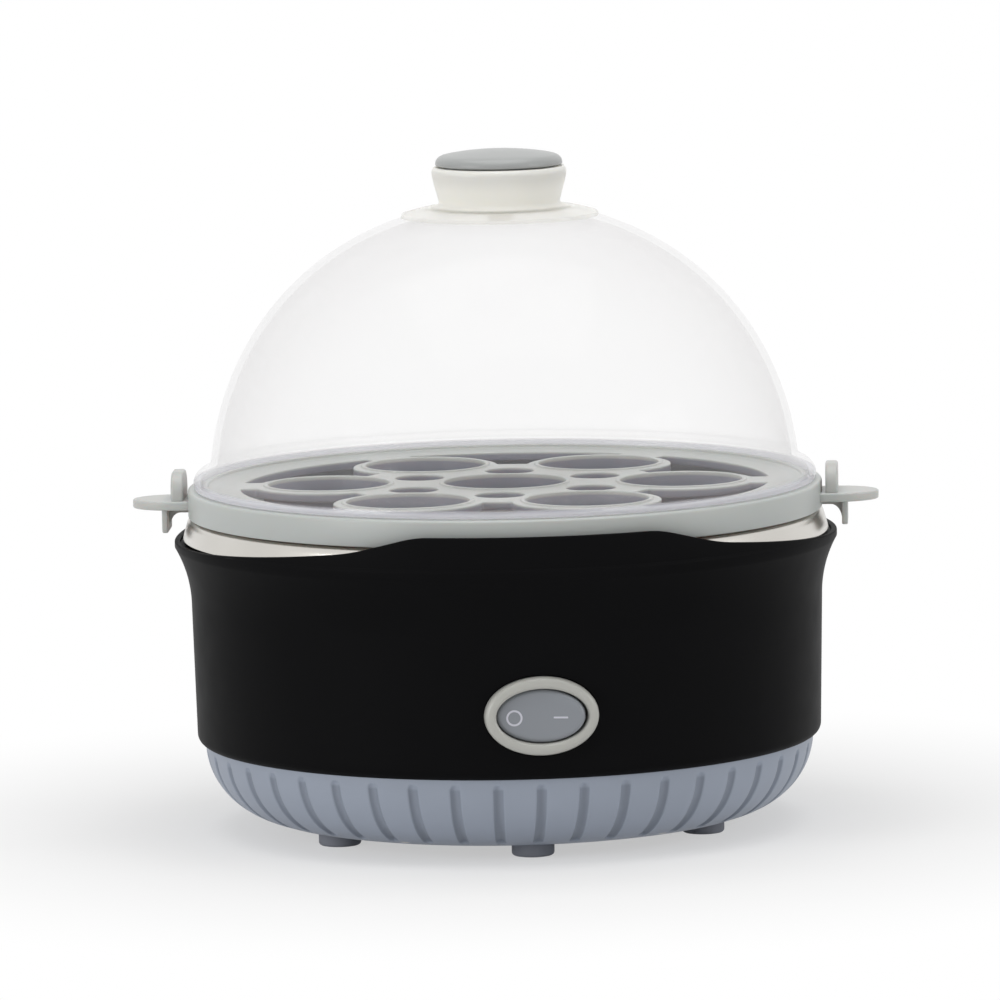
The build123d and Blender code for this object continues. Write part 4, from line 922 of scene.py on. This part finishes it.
    def handles(self, skin):
        """Each handle is a tongue, an upright guard, a leg and a gusset: plates that are given
        by outline, low, high, edge, the order of their axes and how far they are lifted."""
        tip = arc((90, 0), (12, 9.5), -90, 90, 41)
        root = np.vstack([tip[-1:], [(85.6, 9.5), (85.6, -9.5)], tip[:1]])
        tongue = np.vstack([resampled(root, 1.5)[1:-1], tip])
        guard = rounded([(-8, 0), (8, 0), (8, 8.7), (-8, 8.7)], [1.0, 1.0, 5.5, 5.5], 12)
        leg = rounded([(-7, 81.8), (7, 81.8), (7, 89.3), (-7, 89.3)], [1.2, 1.2, 0.7, 0.7], 6)
        arch = arc((89.0, 82.4), (3.0, 4.4), 90, 0, 9)
        gusset = np.vstack([arch, [(93.0, 82.4), (93.0, 89.2), (85.6, 89.2), (85.6, 86.8)]])
        plates = (
            (tongue, 88.3, 90.7, 0.5, (0, 1, 2), 0),
            (guard, 87.6, 91.0, 0.7, (2, 0, 1), 89.7),
            (leg, 92.0, 93.6, 0.4, (2, 0, 1), 0),
            (gusset, -1.0, 1.0, 0.2, (0, 2, 1), 0),
        )
        for side in (1, -1):
            for loop, low, high, edge, axes, lift in plates:

                def place(p, side=side, axes=axes, lift=lift):
                    x, y, z = (p[..., k] for k in axes)
                    return self.lay(xyz(side * x, side * y, lift + z))

                slab(skin, loop, low, high, edge, place)


class EGGCOOKER_OT_dome(bpy.types.Operator):
    """Makes the clear dome with its rounded shoulder."""

    bl_idname = "eggcooker.dome"
    bl_label = "Dome lid"

    def execute(self, context):
        radius, centre, wall = sizes().dome_radius / MM, 90.0, 1.8
        bottom, bend_z, shoulder, flange, round_r = 94.2, 95.7, 3.4, 85.0, 0.3
        free_out, free_in = 0.9, 1.5  # degrees of the ball that the bend takes up
        out_share = (bend_z + shoulder - centre) / radius
        in_share = (bend_z + shoulder - wall - centre) / (radius - wall)
        shares = np.array([out_share, in_share])
        out_angle, in_angle = np.degrees(np.arcsin(shares ** (DOME_POWER / 2)))
        outside = dome_line(radius, centre, 90, out_angle + free_out, 96)
        inside = dome_line(radius - wall, centre, in_angle + free_in, 90, 96)
        bend = (flange - shoulder, bend_z)
        inner = flange - wall
        foot = [(flange, bottom + round_r), (flange - round_r, bottom)]
        foot += [(inner + round_r, bottom), (inner, bottom + round_r)]
        shoulder_out, shoulder_in = arc(bend, shoulder, 80, 0, 12), arc(bend, shoulder - wall, 0, 80, 8)
        skin = Skin()
        turned(skin, np.vstack([outside, shoulder_out, foot, shoulder_in, inside]))
        skin.build("dome_shell", "dome_lid", "lid", "clear_dome", 60)
        return {"FINISHED"}


class EGGCOOKER_OT_knob(bpy.types.Operator):
    """Makes the milky knob with its flared skirt, and the grey cap let into its top."""

    bl_idname = "eggcooker.knob"
    bl_label = "Knob and cap"

    def execute(self, context):
        self.grip()
        self.cap()
        return {"FINISHED"}

    def grip(self):
        under_r, centre, skirt_r, skirt_t = 80.9, 90.0, 27.0, 1.0
        edge = np.degrees(np.arccos((skirt_r / under_r) ** (DOME_POWER / 2)))
        under = dome_line(under_r, centre, 90, edge, 24)
        side = [(skirt_r - 0.3, under[-1, 1] + skirt_t), (22.5, 169.1), (18.9, 169.75)]
        side += [(17.1, 170.2), (16.5, 170.9), (16.8, 172.2), (17.25, 174.0), (17.7, 175.6)]
        side += [(18.05, 177.0), (18.3, 178.3), (18.3, 179.5), (17.7, 180.55)]
        top = [side[-1], (15.6, 180.55), (13.7, 173.6), (5, 173.6), (5, 178.6), (0, 178.6)]
        skin = Skin()
        turned(skin, np.vstack([under, self.eased(side, 60), rounded(top, 0, 2)]), 192)
        skin.build("knob_shell", "knob", "lid", "milky_knob", 50)

    def cap(self):
        top, width, rise, edge_r, low = 185.2, 15.6, 1.5, 14.5, 181.0
        crown_r = (width**2 + rise**2) / (2 * rise)
        edge = np.degrees(np.arccos(edge_r / crown_r))
        crown = arc((0, top - crown_r), crown_r, 90, edge, 20)
        shoulder = arc((14.4, 181.5), (2.9, 2.32), 78, 0, 12)
        foot = [(17.3, low + 0.15), (17.15, low), (15.3, low)]
        seat = [(15.0, 178.8), (13.9, 178.8), (13.9, 180.7), (0, 180.7)]
        skin = Skin()
        turned(skin, np.vstack([crown, shoulder, foot, seat]), 192)
        skin.build("cap_shell", "knob_cap", "lid", "cap_grey", 50)

    def eased(self, known, count):
        """A smooth curve through given points: cubic pieces whose slopes are the mean of
        their neighbours'."""
        known = np.asarray(known, float)
        slope = np.gradient(known, axis=0)
        at = np.linspace(0, len(known) - 1, count)
        index = np.clip(np.floor(at).astype(int), 0, len(known) - 2)
        t = (at - index)[:, None]
        a, b, m, n = known[index], known[index + 1], slope[index], slope[index + 1]
        return (
            (2 * t**3 - 3 * t**2 + 1) * a
            + (t**3 - 2 * t**2 + t) * m
            + (3 * t**2 - 2 * t**3) * b
            + (t**3 - t**2) * n
        )


class EGGCOOKER_OT_switch(bpy.types.Operator):
    """Makes the oval bezel with its case, and the hollowed rocker with its two marks."""

    bl_idname = "eggcooker.switch"
    bl_label = "Rocker switch"

    def execute(self, context):
        self.bezel()
        self.rocker()
        return {"FINISHED"}

    def bezel(self):
        front, edge_r, lip_r = 4.0, 1.7, 1.0
        (out_w, out_h), (in_w, in_h), (case_w, case_h) = (15.2, 10.5), (12.2, 7.35), (13.6, 9.2)
        case_back, back, floor = -15.5, 0.2, -5.4
        edge = arc((-edge_r, front - edge_r), edge_r, 0, 90, 9)
        lip = arc((0.0, front - lip_r), lip_r, 90, 0, 7)
        rows = [(0, 0, case_back), (case_w, case_h, case_back), (case_w, case_h, back)]
        rows += [(out_w, out_h, back)]
        rows += [(out_w + d, out_h + d, h) for d, h in edge]
        rows += [(in_w + lip_r - d, in_h + lip_r - d, h) for d, h in lip]
        rows += [(in_w, in_h, floor), (0, 0, floor)]
        skin = Skin()
        skin.grid(front_place(ovals(rows)), wrap_cols=True)
        skin.build("bezel_shell", "switch_housing", "base", "bezel_grey", 45)

    def face(self, x):
        """Height of the rocker's hollow face: lowest at the middle, rising to the ends along
        a circle."""
        middle, radius = 2.7, 60
        return middle + radius - np.sqrt(radius**2 - x**2)

    def rocker(self):
        half_w, half_h, round_r = 11.7, 7.1, 1.3
        side_w, hinge_r, back = 11.95, 12.0, -3.5
        turn = np.radians(-7)

        def place(points):
            """Points on the switch's axis, turned about the pivot."""
            x, up, out = np.moveaxis(points, -1, 0)
            c, s = np.cos(turn), np.sin(turn)
            return front_place(xyz(x * c + out * s, up, out * c - x * s))

        back_w = np.sqrt(hinge_r**2 - back**2)
        sides = [(0, 0, back), (back_w, half_h, back), (side_w, half_h, 0.0)]
        bend = []
        for t in np.radians(np.linspace(0, 90, 9)):
            inset, drop = round_r * (1 - np.cos(t)), round_r * (1 - np.sin(t))
            bend.append((half_w - inset, half_h - inset, -drop))
        flat_w, flat_h = half_w - round_r, half_h - round_r
        hollow = [(flat_w * share, flat_h * share, 0) for share in np.linspace(0.92, 0, 12)]
        skin = Skin()
        front = ovals(bend + hollow, face=self.face)
        skin.grid(place(np.concatenate([ovals(sides), front])), wrap_cols=True)
        self.marks(skin, place)
        skin.build("rocker_shell", "rocker", "rocker", "rocker_grey", 45, ["mark_white"])

    def marks(self, skin, place):
        """A ring and a dash, a hair proud of the face and following its hollow."""
        ring_x, dash_x, mark_y = -7.0, 5.3, -0.35
        ring_out, ring_in, half_l, half_t = 2.15, 1.63, 1.9, 0.24
        sunk, proud, crown = -0.1, 0.04, 0.07
        ring = [(ring_out, sunk), (ring_out, proud), (ring_in, proud), (ring_in, sunk)]
        points = ovals([(r, r, h) for r, h in ring], 64, (ring_x, mark_y), self.face)
        skin.grid(place(points), wrap_rows=True, wrap_cols=True, slot=1)
        dash = [(-half_l, -half_t), (half_l, -half_t), (half_l, half_t), (-half_l, half_t)]
        dash = rounded(dash, 0.08, 3)
        rows = []
        for share, height in ((0, sunk), (1, sunk), (1, proud), (0, crown)):
            x, y = dash_x + share * dash[:, 0], mark_y + share * dash[:, 1]
            rows.append(xyz(x, y, self.face(x) + height))
        skin.grid(place(np.stack(rows)), wrap_cols=True, slot=1)


class EGGCOOKER_OT_inlet(bpy.types.Operator):
    """Makes the round cord bush in the rear wall."""

    bl_idname = "eggcooker.inlet"
    bl_label = "Cord inlet bush"

    def execute(self, context):
        bore, groove, nut, flange = 3.3, 5, 6.4, 7.5
        corners = [(bore, -4.2), (nut, -4.2), (nut, -2.2), (groove, -2.2)]
        corners += [(groove, 0), (flange, 0), (flange, 2.4), (bore, 2.4)]
        profile = rounded(corners, [0.3, 0.4, 0, 0, 0, 0, 0.9, 0.6], 6)
        skin = Skin()
        turned(skin, profile, 96, place=lambda p: stood(p, 1, INLET_SEAT, INLET_Z))
        skin.build("bush_shell", "cord_bush", "base", "inner_black", 45)
        return {"FINISHED"}


class EGGCOOKER_OT_fittings(bpy.types.Operator):
    """Gives every part that is carried over from the frame its finish."""

    bl_idname = "eggcooker.fittings"
    bl_label = "Inner fittings"

    def execute(self, context):
        for row in frame["record"]["subparts"]:
            node = frame["nodes"][row["node"]]
            node.data.materials.clear()
            node.data.materials.append(finishes.get(row["material_slot"]))
        return {"FINISHED"}


class EGGCOOKER_OT_stage(bpy.types.Operator):
    """Makes the pale floor, the soft light and the camera at the photograph's angle."""

    bl_idname = "eggcooker.stage"
    bl_label = "Stage"

    def execute(self, context):
        self.floor()
        self.light(context.scene)
        self.camera(context.scene)
        context.scene.view_settings.view_transform = "Standard"
        return {"FINISHED"}

    def floor(self):
        """A square that fades to plain white away from the cooker, and keeps its shadow."""
        half, shadow_r, white_r = 3.0, 95, 230
        mesh = bpy.data.meshes.new("floor")
        corners = [(x * half, y * half, 0) for x, y in ((-1, -1), (1, -1), (1, 1), (-1, 1))]
        mesh.from_pydata(corners, [], [(0, 1, 2, 3)])
        floor = placed("floor", mesh)
        f = Finish("pale_floor")
        base = f.mix(f.noise(60, 3), (0.86, 0.86, 0.86, 1), (0.9, 0.9, 0.9, 1))
        f.coat(Base_Color=base, Roughness=0.9, Specular_IOR_Level=0.0)
        away = f.ramp(f.radius(), shadow_r, white_r)
        glow = f.node("Emission", None, {"Color": WHITE, "Strength": 1.0})
        white = f.seen() * (0.5 + 0.5 * away)
        surface = Wire(f, f.surface.outputs[0])
        blend = f.node("MixShader", None, {0: white, 1: surface, 2: glow})
        f.feed(f.tree.nodes["Material Output"].inputs["Surface"], blend)
        mesh.materials.append(f.material)

    def light(self, scene):
        stage = scene.egg_cooker_stage
        world = scene.world or bpy.data.worlds.new("studio")
        scene.world = world
        world.use_nodes = True
        world.node_tree.nodes.clear()
        w = Nodes(world.node_tree)
        soft, white = (
            w.node("Background", None, {"Color": WHITE, "Strength": strength})
            for strength in (stage.soft_light, 1.0)
        )
        sky = w.node("MixShader", None, {0: w.seen(), 1: soft, 2: white})
        w.node("OutputWorld", None, {"Surface": sky}, None)
        lamps = (
            ("top_light", (0.0, -0.1, 1.2), 1.1),
            ("left_light", (-1.2, -0.7, 0.35), 0.6),
            ("right_light", (1.2, -0.6, 0.45), 0.6),
        )
        middle = Vector((0, 0, 0.09))
        for name, spot, size in lamps:
            data = bpy.data.lights.new(name, "AREA")
            data.shape = "SQUARE"
            data.size = size
            data.energy = getattr(stage, name)
            lamp = placed(name, data)
            lamp.location = spot
            lamp.rotation_euler = (middle - Vector(spot)).to_track_quat("-Z", "Y").to_euler()

    def camera(self, scene):
        stage = scene.egg_cooker_stage
        data = bpy.data.cameras.new("camera")
        camera = placed("camera", data)
        scene.camera = camera
        data.sensor_width = 36.0
        data.lens = data.sensor_width * stage.distance / stage.frame_width
        data.clip_start, data.clip_end = 0.05, 50
        turn, tilt = stage.azimuth, stage.elevation
        back = Vector((np.sin(turn) * np.cos(tilt), -np.cos(turn) * np.cos(tilt), np.sin(tilt)))
        right = Vector((np.cos(turn), np.sin(turn), 0))
        target = Vector((0, 0, stage.aim_height)) - right * stage.aim_left
        camera.rotation_mode = "QUATERNION"
        facing = (-back).to_track_quat("-Z", "Y").to_matrix().to_4x4()
        roll = Matrix.Rotation(stage.roll, 4, "Z")
        camera.matrix_world = Matrix.Translation(target + back * stage.distance) @ facing @ roll


# Settings that a user would change


def number(name, description, default, unit="NONE", precision=2):
    return FloatProperty(
        name=name, description=description, default=default, unit=unit, precision=precision
    )


def length(name, description, metres):
    return number(name, description, metres, "LENGTH", 4)


def angle(name, description, degrees):
    return number(name, description, float(np.radians(degrees)), "ROTATION")


def colour(name, description, red, green, blue):
    """A colour property whose default is given as it shows on screen, from 0 to 255."""
    seen = np.array([red, green, blue]) / 255
    linear = np.where(seen <= 0.04045, seen / 12.92, ((seen + 0.055) / 1.055) ** 2.4)
    default = (*linear.tolist(), 1.0)
    looks = {"size": 4, "min": 0.0, "max": 1.0, "subtype": "COLOR"}
    return FloatVectorProperty(name=name, description=description, default=default, **looks)


class EggCookerSizes(bpy.types.PropertyGroup):
    """Sizes of the visible pieces."""

    flutes: IntProperty(name="Flutes", description="Flutes round the base", default=45, min=12)
    flute_depth: length("Flute depth", "How deep each flute is cut", 0.00095)
    tray_turn: angle("Tray turn", "How the tray happens to lie on the body", -8.6)
    dome_radius: length("Dome radius", "Outer radius of the clear dome", 0.0808)


class EggCookerColours(bpy.types.PropertyGroup):
    """Colours of the visible pieces."""

    body: colour("Body", "Satin black body", 17, 17, 18)
    base: colour("Base", "Blue-grey base cover", 160, 168, 182)
    foot: colour("Feet", "Rubber feet", 148, 151, 160)
    tray: colour("Tray", "Light grey egg tray", 192, 193, 190)
    # painted shade on the walls of the egg holes and under the plate
    well: colour("Wells", "Walls of the egg holes", 146, 149, 161)
    knob: colour("Knob", "Milky knob", 253, 250, 241)
    cap: colour("Cap", "Grey cap of the knob", 165, 167, 166)
    bezel: colour("Bezel", "Oval round the rocker", 184, 184, 178)
    rocker: colour("Rocker", "Rocker of the switch", 140, 144, 150)
    mark: colour("Marks", "On and off marks", 208, 208, 218)
    dome: colour("Dome", "Clear dome", 232, 229, 230)
    # painted highlight along the foot of the dome
    dome_edge: colour("Dome edge", "Foot of the dome", 232, 232, 240)


class EggCookerStage(bpy.types.PropertyGroup):
    """Lamps and camera."""

    top_light: number("Top light", "Power of the lamp above", 9.0, "POWER")
    left_light: number("Left light", "Power of the left lamp", 5.2, "POWER")
    right_light: number("Right light", "Power of the right lamp", 3.4, "POWER")
    soft_light: number("Soft light", "Strength of the light all round", 0.3)
    azimuth: angle("Azimuth", "Camera's turn round the cooker", -5.7)
    elevation: angle("Elevation", "Camera's height over the cooker", 6.9)
    roll: angle("Roll", "Camera's roll", -1.1)
    distance: length("Distance", "Camera to the cooker's middle", 2.4)
    frame_width: length("Frame width", "Width seen at the cooker's middle", 0.2733)
    aim_height: length("Aim height", "Height of the picture's middle", 0.0890)
    aim_left: length("Aim left", "How far left of the axis the picture's middle is", 0.0014)


class EGGCOOKER_PT_panel(bpy.types.Panel):
    """Lists the pieces, colours, sizes and stage settings."""

    bl_idname = "EGGCOOKER_PT_panel"
    bl_label = "Egg cooker"
    bl_space_type = "VIEW_3D"
    bl_region_type = "UI"
    bl_category = "Egg cooker"

    def draw(self, context):
        for group in ("egg_cooker_sizes", "egg_cooker_colours", "egg_cooker_stage"):
            box = self.layout.box()
            settings = getattr(context.scene, group)
            for name in settings.__annotations__:
                box.prop(settings, name)
        for operator in OPERATORS:
            self.layout.operator(operator.bl_idname)


OPERATORS = (
    EGGCOOKER_OT_fittings,
    EGGCOOKER_OT_base,
    EGGCOOKER_OT_feet,
    EGGCOOKER_OT_body,
    EGGCOOKER_OT_bowl,
    EGGCOOKER_OT_tray,
    EGGCOOKER_OT_dome,
    EGGCOOKER_OT_knob,
    EGGCOOKER_OT_switch,
    EGGCOOKER_OT_inlet,
    EGGCOOKER_OT_stage,
)
GROUPS = (
    ("egg_cooker_sizes", EggCookerSizes),
    ("egg_cooker_colours", EggCookerColours),
    ("egg_cooker_stage", EggCookerStage),
)


def register():
    for name, group in GROUPS:
        bpy.utils.register_class(group)
        setattr(bpy.types.Scene, name, PointerProperty(type=group))
    for item in OPERATORS + (EGGCOOKER_PT_panel,):
        bpy.utils.register_class(item)


def unregister():
    for item in (EGGCOOKER_PT_panel,) + OPERATORS[::-1]:
        bpy.utils.unregister_class(item)
    for name, group in GROUPS[::-1]:
        delattr(bpy.types.Scene, name)
        bpy.utils.unregister_class(group)


def main():
    register()
    for operator in OPERATORS:
        group, name = operator.bl_idname.split(".")
        getattr(getattr(bpy.ops, group), name)()


if __name__ == "__main__":
    main()
